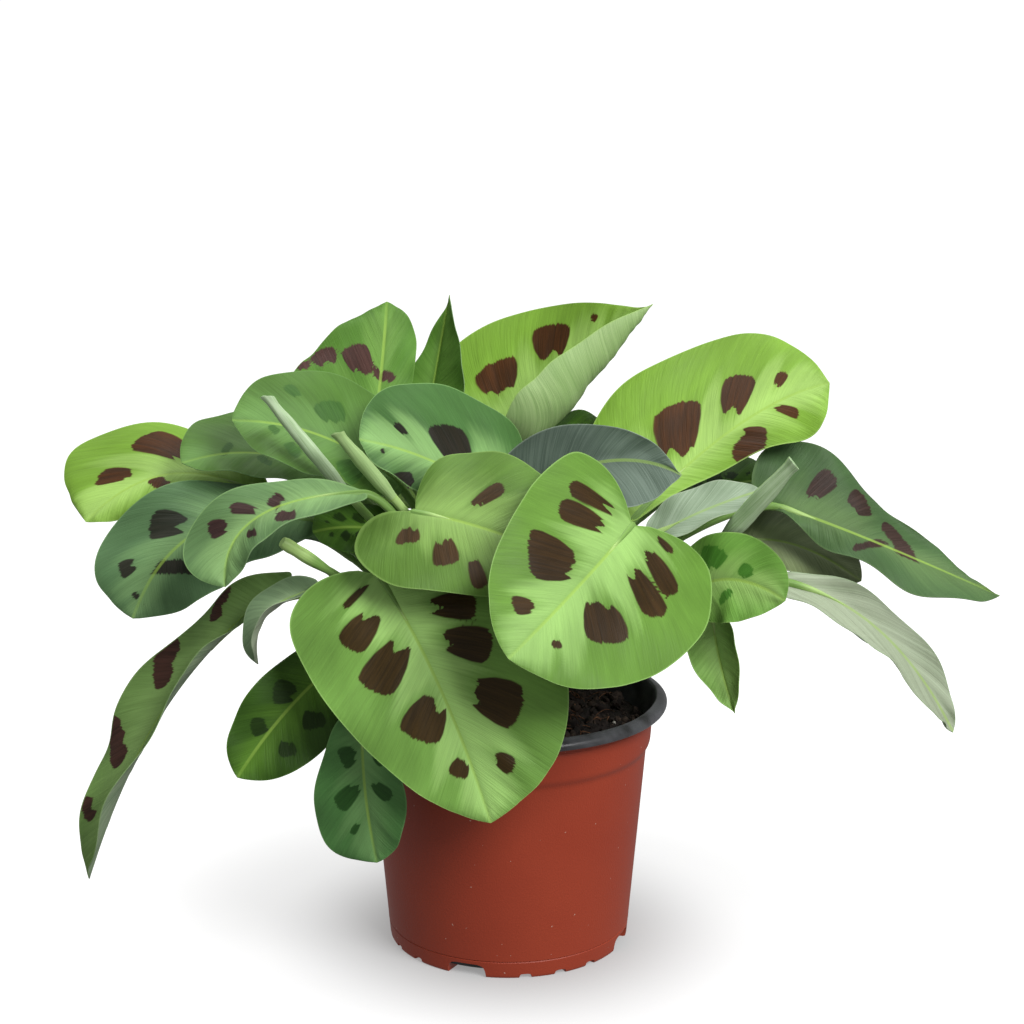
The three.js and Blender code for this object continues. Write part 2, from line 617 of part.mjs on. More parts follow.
// The hole that a stalk stands in.
function rootHole(root) {
  const radius = STALK.radius + STALK.holeGap;
  const depth = 2 * STALK.holeDepth;
  const drill = new THREE.CylinderGeometry(radius, radius, depth, STALK.holeSides);
  drill.rotateX(Math.PI / 2);
  drill.translate(...root, holeBottom(root) + depth / 2);
  return solidFromGeometry(drill);
}

// The soil fills the pot to below its rim. Its top is a disc of rings, raised to the soil's height.
function soilSolid(roots) {
  const inset = POT.wall + CLEARANCE;
  const rim = POT.collarFootRadius - inset;
  const profile = [
    [0, SOIL.bottom],
    [wallRadius(SOIL.bottom) - inset, SOIL.bottom],
    [POT.shoulderRadius - inset, POT.shoulderBottom],
    [rim, POT.collarBottom],
  ];
  for (let ring = 0; ring <= SOIL.rings; ring++) {
    profile.push([rim * (1 - ring / SOIL.rings), SOIL.top]);
  }
  const geometry = lathe(profile);
  const position = geometry.attributes.position;
  for (let i = 0; i < position.count; i++) {
    const onTop = Math.abs(position.getZ(i) - SOIL.top) < MERGE;
    if (onTop) position.setZ(i, soilHeight(position.getX(i), position.getY(i)));
  }
  return roots.map(rootHole).reduce((soil, hole) => soil.subtract(hole), solidFromGeometry(geometry));
}

// ---- The assembly ----

function namedMesh(name, solid, color, roughness) {
  const material = new THREE.MeshStandardMaterial({ color, roughness, metalness: 0 });
  const mesh = new THREE.Mesh(geometryFromSolid(solid), material);
  mesh.name = name;
  return mesh;
}

const holder = new THREE.Group();
holder.add(namedMesh("pot", potSolid(), COLOUR.terracotta, 0.55));
const roots = [...LEAVES, ...SPINDLES].map((piece) => piece.root);
holder.add(namedMesh("soil", soilSolid(roots), COLOUR.soil, 0.95));

const plant = new THREE.Group();
for (const leaf of LEAVES) {
  plant.add(namedMesh(leaf.name, leafSolid(leaf), COLOUR[leaf.colour], 0.5));
}
for (const spindle of SPINDLES) {
  plant.add(namedMesh(spindle.name, spindleSolid(spindle), COLOUR[spindle.colour], 0.5));
}

const group = new THREE.Group();
group.add(holder, plant);

export default group;
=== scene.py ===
"""A potted prayer plant with spotted leaves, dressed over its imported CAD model.

Lengths are in millimetres until a mesh is made. The frame is the CAD one: the pot stands on z = 0,
+Z is up and the plant's front looks towards -Y.
"""

import math
from typing import NamedTuple

import bmesh
import bpy
import numpy as np
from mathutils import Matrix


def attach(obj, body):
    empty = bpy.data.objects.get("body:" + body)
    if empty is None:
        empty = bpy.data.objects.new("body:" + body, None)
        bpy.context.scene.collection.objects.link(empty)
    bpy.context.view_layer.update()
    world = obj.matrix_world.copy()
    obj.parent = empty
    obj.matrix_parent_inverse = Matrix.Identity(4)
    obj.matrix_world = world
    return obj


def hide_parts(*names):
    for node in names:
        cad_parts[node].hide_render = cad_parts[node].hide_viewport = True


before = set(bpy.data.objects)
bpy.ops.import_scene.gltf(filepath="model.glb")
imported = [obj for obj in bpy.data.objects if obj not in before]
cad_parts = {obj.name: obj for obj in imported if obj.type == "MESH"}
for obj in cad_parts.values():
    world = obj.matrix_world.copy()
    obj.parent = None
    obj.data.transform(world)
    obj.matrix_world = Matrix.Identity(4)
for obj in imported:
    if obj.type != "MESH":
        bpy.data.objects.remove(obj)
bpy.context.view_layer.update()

MM = 0.001
WELD = 2e-6  # metres: corners closer than this are one corner


# ---- The leaves' form, as in the CAD source: millimetres and degrees ----


class Half(NamedTuple):
    """A blade's part to the left or right of its midrib."""

    width: float
    widest: float  # the share of the way up at which it is widest
    fold: float  # how steeply it rises from the midrib
    curl: float  # how far it bends on towards the edge
    lobe: float  # how far it reaches back at the base, as a share of the midrib
    fullness: float = 0.78  # the power of the sine that its width follows: less is fuller


class Leaf(NamedTuple):
    name: str
    look: str  # one of LOOKS
    root: tuple  # where the stalk enters the soil
    wave: float  # the height of the ripples along the edge
    base: tuple  # base, mid and tip are points of the midrib
    mid: tuple
    tip: tuple
    face: tuple  # where the upper side looks at mid-leaf
    left: Half
    right: Half
    twist: float = 0  # how far the blade turns about its midrib


class Spindle(NamedTuple):
    """A stalk with a straight end from base to tip: a rolled leaf, or bare where it has no turns."""

    name: str
    look: str  # one of LOOKS, for the outer side of a roll
    root: tuple
    base: tuple
    tip: tuple
    radius: float
    turns: float


def even(width):
    """Both halves of a leaf of the back, which the photo doesn't show."""
    return [Half(width, 0.45, 8, -10, 0.2)] * 2


LEAVES = [
    Leaf("leaf_front_low", "fresh", (-18, -24), 1.5, (-46, -36, 151), (-24, -62, 118), (-6, -76, 73),
         (-0.14, -0.91, 0.4), Half(45, 0.55, 8, -12, 0.14, 0.85), Half(40, 0.35, 8, -12, 0.34, 0.88)),
    Leaf("leaf_front_mid", "olive", (-9, -17), 1.5, (-33, -34, 174), (-3, -46, 169), (29, -54, 157),
         (0.02, -0.71, 0.71), Half(31, 0.4, 6, -10, 0.12), Half(31, 0.45, 6, -12, 0.6, 1.2)),
    Leaf("leaf_front_big", "front", (12, -22), 1.5, (44, -34, 169), (23, -72, 156), (0, -100, 140),
         (0.45, -0.6, 0.67), Half(43, 0.42, 8, -12, 0.3, 0.78), Half(36, 0.35, 8, -12, 0.36, 0.72)),
    Leaf("leaf_centre", "bluish", (-3, -1), 1.2, (-1, 1.5, 169), (-28, -4, 186), (-54, -14, 196),
         (0.5, -0.5, 0.7), Half(14, 0.55, -6, -14, 0.1), Half(40.5, 0.36, 8, -12, 0.1)),
    Leaf("leaf_left_upper", "faded", (-12, 2), 1.2, (-42, 8, 176), (-70, 4, 194), (-101, -4, 201),
         (0.42, -0.56, 0.72), Half(21, 0.6, 8, -8, 0.15), Half(31, 0.42, 8, -10, 0.15)),
    Leaf("leaf_left_upper_rear", "faded", (-14, 9), 1.2, (-62, 24, 171), (-92, 22, 183), (-122, 10, 182),
         (0.25, -0.39, 0.89), Half(14, 0.5, 4, -8, 0.15), Half(27, 0.5, 6, -10, 0.15)),
    Leaf("leaf_far_left", "lime", (-20, 15), 1.5, (-95, 27, 166), (-130, 27, 174), (-160, 16, 158),
         (-0.05, -0.47, 0.88), Half(17, 0.5, 0, -14, 0.15), Half(43, 0.78, 0, -14, 0.15, 0.95)),
    Leaf("leaf_left_mid", "dusky_painted_shade", (-21, 4), 2, (-74, 8, 161), (-114, -6, 160), (-137, -22, 131),
         (0.01, -0.7, 0.72), Half(22, 0.65, -8, -12, 0.1), Half(27, 0.75, 0, -12, 0.1)),
    Leaf("leaf_left_small", "small", (-16, -15), 1, (-52, -29, 180), (-89, -40, 173), (-99, -51, 151),
         (-0.16, -0.62, 0.77), Half(13, 0.55, 22, -8, 0.05), Half(17, 0.78, 14, -10, 0.05)),
    Leaf("leaf_left_drooping", "droop", (-29, 8), 2.5, (-84, 6, 136), (-128, -6, 93), (-159, -14, 26),
         (-0.73, -0.39, 0.56), Half(17, 0.8, 20, 20, 0.1), Half(18, 0.6, 24, 10, 0.1)),
    Leaf("leaf_left_curled", "silver_mauve", (-29, -3), 0.5, (-71, -16, 140), (-89, -18, 131),
         (-92, -20, 113), (-0.77, -0.33, 0.55), Half(13, 0.5, 20, 20, 0.1), Half(9, 0.5, 20, 20, 0.1)),
    Leaf("leaf_low_left", "dark", (-30, -12), 1.2, (-60, -26, 118), (-81, -34, 99), (-98, -42, 77),
         (-0.06, -0.91, 0.41), Half(20, 0.5, 6, -8, 0.15), Half(15, 0.55, 6, -8, 0.15)),
    Leaf("leaf_low_mid", "low", (-26, -24), 1, (-52, -50, 103), (-51, -54, 76), (-47, -56, 50),
         (-0.39, -0.92, 0.06), Half(16, 0.55, 6, -8, 0.15), Half(21, 0.72, 6, -8, 0.15, 0.7)),
    Leaf("leaf_top_left", "top", (-9, 15), 1.5, (-51, 36, 193), (-49, 52, 214), (-48, 70, 234),
         (-0.03, -0.57, 0.82), Half(38, 0.22, 4, -8, 0.2, 1.05), Half(13, 0.6, 0, -12, 0.15)),
    Leaf("leaf_top_folded", "top", (-5, 9), 1, (-32, 54, 188), (-28, 61, 211), (-23, 61, 238),
         (-0.3, -0.85, 0.4), Half(15, 0.2, 45, 16, 0.1, 2), Half(24, 0.3, 30, 16, 0.1, 1.4)),
    Leaf("leaf_top_big", "lime", (3, 6), 0.8, (-3, 54.5, 176), (24, 69.5, 206), (56, 57, 235),
         (-0.45, -0.7, 0.55), Half(46, 0.3, 16, -8, 0.15, 2), Half(52, 0.32, -10, 150, 0.1, 1)),
    Leaf("leaf_right_big", "lime", (11, 3), 1.2, (48, -2, 166), (87, 16, 196), (120, 18, 211),
         (-0.29, -0.61, 0.74), Half(50, 0.48, 4, -10, 0.2, 1.15), Half(19, 0.82, -6, -12, 0.1)),
    Leaf("leaf_centre_turned", "silver", (7, -5), 0.8, (2, -4, 172), (35, -10, 187), (63, -14, 183),
         (0.17, 0.9, -0.3), Half(20, 0.6, -10, -20, 0.1), Half(17, 0.3, -10, -20, 0.1, 1.5)),
    Leaf("leaf_right_turned", "silver_bright", (12, -4), 0.8, (53, -13, 159), (70, -15, 169), (92, -14, 177),
         (0.49, 0.47, -0.73), Half(12, 0.5, -10, -20, 0.1), Half(11, 0.5, -10, -20, 0.1)),
    Leaf("leaf_right_long", "long", (16, 3), 2.5, (101, 4, 167), (134, -4, 156), (180, -16, 138),
         (0.1, -0.5, 0.86), Half(29, 0.36, 6, -8, 0.55, 2), Half(16, 0.82, -4, -10, 0.1), twist=-40),
    Leaf("leaf_right_rear", "silver_dark", (18, 10), 1, (90, 18, 150), (110, 14, 149), (133, 8, 137),
         (0.12, -0.56, 0.82), Half(18, 0.5, 6, -8, 0.15), Half(16, 0.5, 6, -8, 0.15)),
    Leaf("leaf_right_drooping", "silver_mauve", (17, -4), 1.5, (102, -10, 141), (136, -18, 125),
         (163, -27, 89), (-0.38, 0.68, -0.63), Half(15, 0.45, -12, -30, 0.1), Half(10, 0.6, -12, -30, 0.1)),
    Leaf("leaf_right_small", "small_right", (16, -17), 1, (66, -23, 142), (81, -34, 149), (98, -44, 144),
         (-0.4, -0.85, 0.35), Half(17, 0.5, 6, -8, 0.2), Half(16, 0.5, 6, -8, 0.2)),
    Leaf("leaf_right_low", "fresh", (17, -10), 0.8, (75, -15, 130), (78, -20, 113), (83, -26, 96),
         (-0.51, -0.86, 0.1), Half(12, 0.35, 20, 16, 0.1, 1.2), Half(12, 0.25, 20, 16, 0.1, 1.3)),
    Leaf("leaf_inner_rear", "dark", (8, 10), 1, (4, 46, 171), (20, 52, 182), (36, 50, 187),
         (-0.37, -0.34, 0.86), Half(18, 0.5, 6, -8, 0.15), Half(18, 0.5, 6, -8, 0.15)),
    Leaf("leaf_inner_right", "dark", (17, 18), 1, (70, 30, 163), (85, 34, 168), (99, 32, 171),
         (-0.18, -0.48, 0.86), Half(16, 0.5, 6, -8, 0.15), Half(16, 0.5, 6, -8, 0.15)),
    Leaf("leaf_inner_left", "dark", (-19, -3), 1, (-44, 2, 158), (-59, -4, 161), (-72, -8, 160),
         (0.22, -0.6, 0.77), Half(11, 0.5, 0, -8, 0.15), Half(13, 0.5, 0, -8, 0.15)),
    Leaf("leaf_back_centre", "fresh", (4, 24), 1.5, (6, 60, 158), (12, 100, 152), (16, 138, 122),
         (0.05, 0.45, 0.89), *even(34)),
    Leaf("leaf_back_left", "lime", (-9, 27), 1.5, (-46, 66, 152), (-72, 98, 148), (-94, 124, 122),
         (-0.35, 0.4, 0.85), *even(32)),
    Leaf("leaf_back_right", "olive", (14, 26), 1.5, (62, 64, 156), (92, 90, 154), (120, 108, 132),
         (0.38, 0.35, 0.86), *even(31)),
    Leaf("leaf_back_upper_left", "top", (-15, 22), 1.5, (-46, 56, 176), (-70, 84, 174), (-90, 104, 156),
         (-0.3, 0.35, 0.9), *even(28)),
    Leaf("leaf_back_upper_right", "lime", (10, 18), 1.5, (37, 58, 172), (59, 86, 175), (74, 108, 162),
         (0.3, 0.35, 0.9), *even(28)),
    Leaf("leaf_back_mid_left", "dusky_painted_shade", (-27, 20), 1.2, (-72, 46, 144), (-102, 62, 144), (-126, 74, 124),
         (-0.3, 0.3, 0.9), *even(24)),
    Leaf("leaf_back_mid_right", "fresh", (21, 22), 1.2, (82, 46, 136), (110, 60, 136), (134, 70, 116),
         (0.3, 0.3, 0.9), *even(23)),
    Leaf("leaf_back_low_left", "bluish", (-18, 30), 1.2, (-34, 62, 116), (-44, 84, 100), (-50, 98, 70),
         (-0.4, 0.75, 0.5), *even(24)),
    Leaf("leaf_back_low_right", "dark", (12, 34), 1.2, (28, 64, 112), (34, 86, 94), (36, 98, 64),
         (0.3, 0.8, 0.5), *even(24)),
]

SPINDLES = [
    Spindle("leaf_rolled_left_long", "young", (-13, -4), (-58, -16, 176), (-87, -20, 214), 2.4, 1.4),
    Spindle("leaf_rolled_left_short", "lime", (-8, -8), (-41, -26, 177), (-61, -32, 203), 2.6, 1.4),
    Spindle("leaf_rolled_right", "young", (12, -10), (78, -20, 160), (101, -39, 194), 3.6, 1.6),
    Spindle("stalk_cut", "silver", (-22, -13), (-64, -24, 149), (-81, -30, 162), 2.6, 0),
]

POINT = 0.05  # length of the small tip, as a share of the midrib
POINT_POWER = 14  # the higher, the shorter the tip's neck
BOW_RISE = 0.45  # how the rows' bow sets in at the base ...
BOW_FALL = 1.3  # ... and how it dies away towards the tip
RIPPLES = 3.5  # waves along each edge
RIPPLE_PHASE = 2

# Dark spots, read on the flattened leaf in millimetres: distance from the midrib at the inner and at the
# outer end (negative on the left half), distance from the base, and breadth along the leaf.
SPOTS = {
    "leaf_front_low": [
        (-8, -25, 61.5, 17), (-8, -15, 81, 8), (-7, -24, 40, 12), (-9, -25, 26, 9), (-10, -24, 10, 7),
        (1, 7, 78, 9), (1, 16, 58, 17), (4, 23, 34, 15), (8, 23, 16, 11), (5, 17, 2, 3),
    ],
    "leaf_front_mid": [
        (-6, -19, 24, 6), (8, 19, 18.5, 9), (7, 14, 2, 8), (12, 24, 33, 6), (-5, -14, 45, 8),
        (5, 14, 48, 8),
    ],
    "leaf_front_big": [
        (-6, -22, 46, 17), (-9, -28, 23, 11), (-9, -27, 10, 8), (-6.5, -9.5, 67, 5), (-9, -17, -2, 3),
        (4, 22, 41, 20), (6, 24, 16, 9), (8, 26, 6, 7), (5, 13, 65, 9),
    ],
    "leaf_centre": [(-9, -22, 41, 17), (2, 19, 24.5, 15), (6, 12, 44.5, 4.5), (-2, -4, 52, 3)],
    "leaf_left_upper": [
        (7, 16, 31, 12), (13, 19, 45, 5), (-8, -14, 43, 9), (-1, -5, 51, 6), (-5, -17, 18, 10),
    ],
    "leaf_left_upper_rear": [(1, 4, 47, 8), (-2, -6, 33, 8)],
    "leaf_far_left": [(4, 17, 55, 11), (6, 29, 35.5, 13), (-3, -9, 38, 20), (-6.4, -9.4, 70, 8)],
    "leaf_left_mid": [(3, 16, 50, 13), (7, 13, 70, 8), (1, 3, 77, 4), (-2, -8, 60, 24)],
    "leaf_left_small": [
        (4, 11, 46, 8), (1, 10, 35, 5), (0, 5, 24, 6), (-3.5, -8.5, 40.5, 6), (-4, -11, 24, 8),
    ],
    "leaf_left_drooping": [
        (8, 13, 117, 12), (8, 17, 92, 24), (8, 17, 57, 24), (9, 15, 25, 17), (-8, -17, 115, 12),
        (-8, -18, 90, 18), (-8, -18, 60, 18), (-8, -16, 30, 14),
    ],
    "leaf_low_left": [(1, 7, 39, 8), (1, 9, 24, 9), (-6, -12, 39, 8), (-6, -13, 24, 9)],
    "leaf_low_mid": [(-3, -11, 26, 6), (1, 12, 28, 7), (3, 8, 40, 3), (2, 9, 14, 7), (-5, -10, 13, 7)],
    "leaf_top_left": [(-2, -16, 26, 20), (-18, -27, 27, 18), (-28, -33, 22, 10), (0, 5, 19, 11)],
    "leaf_top_folded": [], "leaf_right_low": [], "leaf_right_rear": [], "leaf_left_curled": [],
    "leaf_top_big": [(-8, -21.5, 47.5, 16), (-14.5, -27, 25, 15), (-8.5, -11.5, 66, 4), (0, -5, 67, 4)],
    "leaf_right_big": [
        (-3, -26, 27.5, 15), (-3, -21, 50.5, 13), (-5, -12, 68, 6), (0, 11, 64, 6), (4, 16, 41.5, 20),
    ],
    "leaf_right_long": [(-7, -21, 16, 9), (-9.5, -17, 34, 12), (-1, -8, 52, 22), (1, 5, 43, 14)],
    "leaf_right_small": [(-4, -12, 12, 9), (-1, -6, 24, 6), (4, 8, 17, 8)],
}

# Where the photo doesn't show a leaf's face, its spots stand in pairs: how far up the leaf, and how
# large against the largest.
SPOT_ROWS = [(0.17, 0.8), (0.36, 1.0), (0.56, 0.8), (0.75, 0.45)]

# How steeply the side veins set off near the midrib, and how much they fan out: (lean, fan).
VEINS = {"leaf_top_left": (2.0, 0.5), "leaf_right_drooping": (3.0, 0.3), "leaf_right_turned": (1.2, 0.8)}
USUAL_VEINS = (0.3, 1.3)
MIDRIB_GAP = 3.0  # how far a spot's end may reach past its inner edge
SPOT_LIMIT = 4.0  # the spot fields end at this many millimetres, inside and outside
PALE_LIMIT = 12.0


# ---- Colours ----


class Look(NamedTuple):
    outer: str  # the green towards the edge
    pale: str  # the lighter feathered middle
    spot: str
    spot_glow: str  # the redder or lighter part of a spot
    under: str
    under_streak: str
    rib: str = "#8fb04a"


LOOKS = {
    "fresh": Look("#6b9443", "#99c26d", "#2b200c", "#403014", "#86a065", "#6e8a52"),
    "front": Look("#5a7f32", "#86ab5f", "#261a09", "#3a2810", "#86a065", "#6e8a52"),
    "olive": Look("#54752f", "#7a9a50", "#2e210e", "#443018", "#7f9466", "#5f784a"),
    "bluish": Look("#416533", "#7ba161", "#15160c", "#241f16", "#7f947c", "#526c54"),
    "faded": Look("#4c6f2f", "#608546", "#355724", "#43692f", "#7f957c", "#5b755c"),
    # Yellower, brighter greens: partly the leaves' own lime green, partly painted light that stands in for
    # light shining through the leaf.
    "lime": Look("#6f9632", "#94b85e", "#331e0a", "#4c2b0e", "#9bb57a", "#7f9c60"),
    # A duller, darker green: partly the leaves' own colour, partly painted shade on leaves of the shaded
    # left and back.
    "dusky_painted_shade": Look("#4b6a44", "#688a58", "#191d12", "#2a2a20", "#768a74", "#4f6852"),
    "small": Look("#567648", "#789a60", "#2a1a18", "#3e2a26", "#80947e", "#5c745c"),
    "droop": Look("#668647", "#82a35e", "#2f1f18", "#4a3028", "#8a9c7c", "#5f7858"),
    # Darker greens and green spots for leaves deep in the clump and low down: painted shade.
    "dark": Look("#345418", "#4f7624", "#1a2f08", "#243c0e", "#50703c", "#385428"),
    "top": Look("#4b7428", "#62893c", "#33201a", "#4a302a", "#80967a", "#5c7652"),
    "long": Look("#415c36", "#556f42", "#2a1e18", "#40302a", "#76887a", "#546a58"),
    "small_right": Look("#66943e", "#86aa5c", "#39681f", "#467a2a", "#70885c", "#506c44"),
    "low": Look("#4c7a40", "#6a9458", "#22441a", "#2c5422", "#6c8a64", "#4c6c48"),
    "silver": Look("#6f8276", "#93a292", "#4a5a4c", "#4a5a4c", "#68786b", "#4c5c50"),
    "silver_bright": Look("#7d9078", "#a8b89a", "#4a5a4c", "#4a5a4c", "#9cad96", "#778b6f"),
    "silver_dark": Look("#66734e", "#87946c", "#3d4a3a", "#3d4a3a", "#5c6b4a", "#3c4a30"),
    "young": Look("#86ac5c", "#a9cc7c", "#4a5a4c", "#4a5a4c", "#b8cca8", "#86a274"),
    "silver_mauve": Look("#6a8460", "#8ca47c", "#4a5a4c", "#4a5a4c", "#a3b095", "#828b74"),
}


# ---- Numbers and noise ----


def unit(vectors):
    return vectors / np.linalg.norm(vectors, axis=-1, keepdims=True)


def smooth(low, high, x):
    """0 below low, 1 above high, and a soft step between."""
    share = np.clip((x - low) / (high - low), 0, 1)
    return share * share * (3 - 2 * share)


def lattice_noise(x, y, seed):
    """Smooth noise from -1 to 1: random numbers at whole x and y, blended softly between them."""
    size = 64
    table = np.random.default_rng(seed).uniform(-1, 1, (size, size))
    i = np.floor(x).astype(int)
    j = np.floor(y).astype(int)
    u = smooth(0, 1, x - i)
    w = smooth(0, 1, y - j)
    left, right, low, high = i % size, (i + 1) % size, j % size, (j + 1) % size
    near = table[left, low] * (1 - u) + table[right, low] * u
    far = table[left, high] * (1 - u) + table[right, high] * u
    return near * (1 - w) + far * w


def travelled(path):
    """How far along a path each of its points lies."""
    steps = np.linalg.norm(np.diff(path, axis=0), axis=1)
    return np.concatenate([[0], np.cumsum(steps)])


# ---- Skins ----

UPPER, UNDER, STALK = 0, 1, 2  # material numbers on leaves and stalks
SOIL, FIBRE, PERLITE = 0, 1, 2  # and on the soil

# What the fields of a blade say on a stalk: no spot, no edge and no pale middle.
STALK_FIELDS = {"edge": 5, "spot_side": -SPOT_LIMIT, "spot_end": -SPOT_LIMIT, "pale": 0, "reach": 0}


class Skin(NamedTuple):
    """Part of a mesh: points (n, 3), faces (m, 3 or 4), a material number for each face, and fields,
    which give each point a number under a name that the materials read."""

    points: np.ndarray
    faces: np.ndarray
    material: np.ndarray
    fields: dict


def ring_faces(rings, count):
    """Four-sided faces between neighbouring closed rings of count points each."""
    i, j = np.meshgrid(np.arange(rings - 1), np.arange(count), indexing="ij")
    after = (j + 1) % count
    corners = [i * count + j, i * count + after, (i + 1) * count + after, (i + 1) * count + j]
    return np.stack([c.ravel() for c in corners], axis=1)


def tube(path, radii, sides, material, fields):
    """A round tube along a path, closed at both ends. Each section stands square on the path, and its
    first direction is carried along from the section before, so the tube doesn't twist."""
    tangents = unit(np.gradient(path, axis=0))
    across = np.cross([0.31, 0.95, 0.05], tangents[0])
    directions = []
    for tangent in tangents:
        across = unit(across - tangent * (across @ tangent))
        directions.append(across)
    directions = np.array(directions)
    others = np.cross(tangents, directions)
    angle = 2 * np.pi * np.arange(sides) / sides
    spread = directions[:, None] * np.cos(angle)[:, None] + others[:, None] * np.sin(angle)[:, None]
    rings = path[:, None] + np.asarray(radii)[:, None, None] * spread
    start = np.repeat(path[:1, None], sides, axis=1)
    end = np.repeat(path[-1:, None], sides, axis=1)
    rings = np.concatenate([start, rings, end])
    count = len(rings)
    length = np.pad(travelled(path), 1, mode="edge")
    own = {
        "vein": np.repeat(length, sides),
        "across": np.tile(angle, count),
        "rim": np.repeat(length / length[-1], sides),
    }
    for key, value in fields.items():
        own[key] = np.full(count * sides, float(value))
    faces = ring_faces(count, sides)
    return Skin(rings.reshape(-1, 3), faces, np.full(len(faces), material), own)


def both_faces(fields):
    """Numbers for the grid of a sheet's one face, repeated backwards for its other face."""
    return {key: np.concatenate([f, f[:, ::-1]], axis=1).ravel() for key, f in fields.items()}


def make_piece(node, skins, materials, crease=50):
    """One object from skins, standing for a CAD node. Corners in the same place become one corner, and
    edges bent by more than the crease stay sharp."""
    points = np.concatenate([skin.points for skin in skins]) * MM
    offsets = np.cumsum([0] + [len(skin.points) for skin in skins])
    faces = []
    for skin, offset in zip(skins, offsets):
        faces += (skin.faces + offset).tolist()
    mesh = bpy.data.meshes.new(node + "_fine")
    mesh.from_pydata(points, [], faces)
    for material in materials:
        mesh.materials.append(material)
    numbers = np.concatenate([skin.material for skin in skins]).astype(np.int32)
    mesh.polygons.foreach_set("material_index", numbers)
    for key in skins[0].fields:
        values = [skin.fields.get(key, np.zeros(len(skin.points))) for skin in skins]
        attribute = mesh.attributes.new(key, "FLOAT", "POINT")
        attribute.data.foreach_set("value", np.concatenate(values).astype(np.float32))
    body = bmesh.new()
    body.from_mesh(mesh)
    bmesh.ops.remove_doubles(body, verts=body.verts, dist=WELD)
    body.to_mesh(mesh)
    body.free()
    mesh.shade_smooth()
    mesh.set_sharp_from_angle(angle=math.radians(crease))
    made = bpy.data.objects.new(node + "_fine", mesh)
    bpy.context.scene.collection.objects.link(made)
    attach(made, "root")
    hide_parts(node)


# ---- Blades ----

ROW_SPACING = 1.1  # of the mesh along the leaf
COLUMN_SPACING = 1.5  # and across each half
PLEAT = 0.14  # height of the pleats between the side veins
PLEAT_SPACING = 8.0
BUCKLE = 0.9  # height of the soft buckles
HALF_THICKNESS = 0.2
THINNING = 0.08  # how much of that is lost towards the edge
GROOVE_DEPTH, GROOVE_BREADTH = 0.32, 1.0  # along the midrib, on the upper face
KEEL_DEPTH, KEEL_BREADTH = 0.55, 0.9  # along the midrib, on the lower face
PALE_REACH = 0.58  # how far the pale middle reaches towards the edge


def rib_handles(leaf):
    """The three handles of the parabola through the midrib's base, mid and tip."""
    base, mid, tip = (np.array(p, float) for p in (leaf.base, leaf.mid, leaf.tip))
    return base, 2 * mid - 0.5 * base - 0.5 * tip, tip


def rib_point(leaf, t):
    base, handle, tip = rib_handles(leaf)
    t = np.asarray(t, float)[..., None]
    return (1 - t) ** 2 * base + 2 * t * (1 - t) * handle + t**2 * tip


def rib_tangent(leaf, t):
    base, handle, tip = rib_handles(leaf)
    t = np.asarray(t, float)[..., None]
    return unit((1 - t) * (handle - base) + t * (tip - handle))


def rib_length(leaf):
    points = rib_point(leaf, np.linspace(0, 1, 200))
    return np.linalg.norm(np.diff(points, axis=0), axis=1).sum()


def rib_normal(leaf, t):
    """Where the upper side looks at share t of the midrib."""
    t = np.asarray(t, float)
    tangent = rib_tangent(leaf, t)
    face = np.array(leaf.face, float)
    normal = unit(face - tangent * (tangent @ face)[..., None])
    angle = np.radians(leaf.twist * (t - 0.5))[..., None]
    return normal * np.cos(angle) + np.cross(tangent, normal) * np.sin(angle)


def blade(leaf, s, v):
    """The blade's middle surface at row s (0 base, 1 tip) and column v (-1 left edge, 1 right edge),
    with the half's width there and the share t of the midrib. Each row bows back towards the edge, its
    width follows a bulging sine, and it folds up from the midrib and curls on towards the edge."""

    def half(key):
        return np.where(v < 0, getattr(leaf.left, key), getattr(leaf.right, key))

    out = np.abs(v)
    along = (1 - np.cos(np.pi * s)) / 2
    bow = half("lobe") * np.clip(np.sin(np.pi * s), 0, 1) ** BOW_RISE * (1 - s) ** BOW_FALL
    t = (along + POINT * s**POINT_POWER) / (1 + POINT) - bow * out**2
    widest = np.arccos(1 - 2 * half("widest")) / np.pi
    warped = s ** (np.log(0.5) / np.log(widest))
    width = half("width") * np.clip(np.sin(np.pi * warped), 0, 1) ** half("fullness")
    fold = np.radians(half("fold"))
    curl = np.radians(half("curl"))
    away = width * (np.sin(fold + curl * out) - np.sin(fold)) / curl
    rise = width * (np.cos(fold) - np.cos(fold + curl * out)) / curl
    phase = 2 * np.pi * RIPPLES * s + RIPPLE_PHASE * np.sign(v)
    ripple = leaf.wave * out**2 * np.sin(np.pi * s) * np.sin(phase)
    normal = rib_normal(leaf, t)
    side = np.cross(rib_tangent(leaf, t), normal)
    lifted = normal * (rise + ripple)[..., None]
    return rib_point(leaf, t) + side * (np.sign(v) * away)[..., None] + lifted, width, t


def blade_normal(leaf, s, v):
    """The direction square to the blade, from a small step each way."""
    step = 1e-3
    row = np.clip(s, 0.02, 0.98)
    across = blade(leaf, row, v + step)[0] - blade(leaf, row, v - step)[0]
    along = blade(leaf, row + step, v)[0] - blade(leaf, row - step, v)[0]
    return unit(np.cross(across, along))


def vein_field(leaf, across, along, length):
    """A number that stays the same along a side vein, in millimetres at the midrib. The veins set off
    at a slant, bend towards the tip and spread apart on their way to the edge."""
    lean, fan = VEINS.get(leaf.name, USUAL_VEINS)
    out = np.abs(across)
    return (along - lean * out - 0.25 * out**2 / length) / (1 + fan * out / length)


def usual_spots(leaf, length, seed):
    """Pairs of spots for a leaf that the photo doesn't show from above."""
    rng = np.random.default_rng(seed)
    spots = []
    for share, size in SPOT_ROWS:
        for side, half in ((-1, leaf.left), (1, leaf.right)):
            inner = half.width * rng.uniform(0.12, 0.2)
            outer = half.width * rng.uniform(0.45, 0.62) * size**0.5
            middle = length * (share + rng.uniform(-0.02, 0.02))
            spots.append((side * inner, side * outer, middle, 0.17 * length * size * rng.uniform(0.7, 1.1)))
    return spots


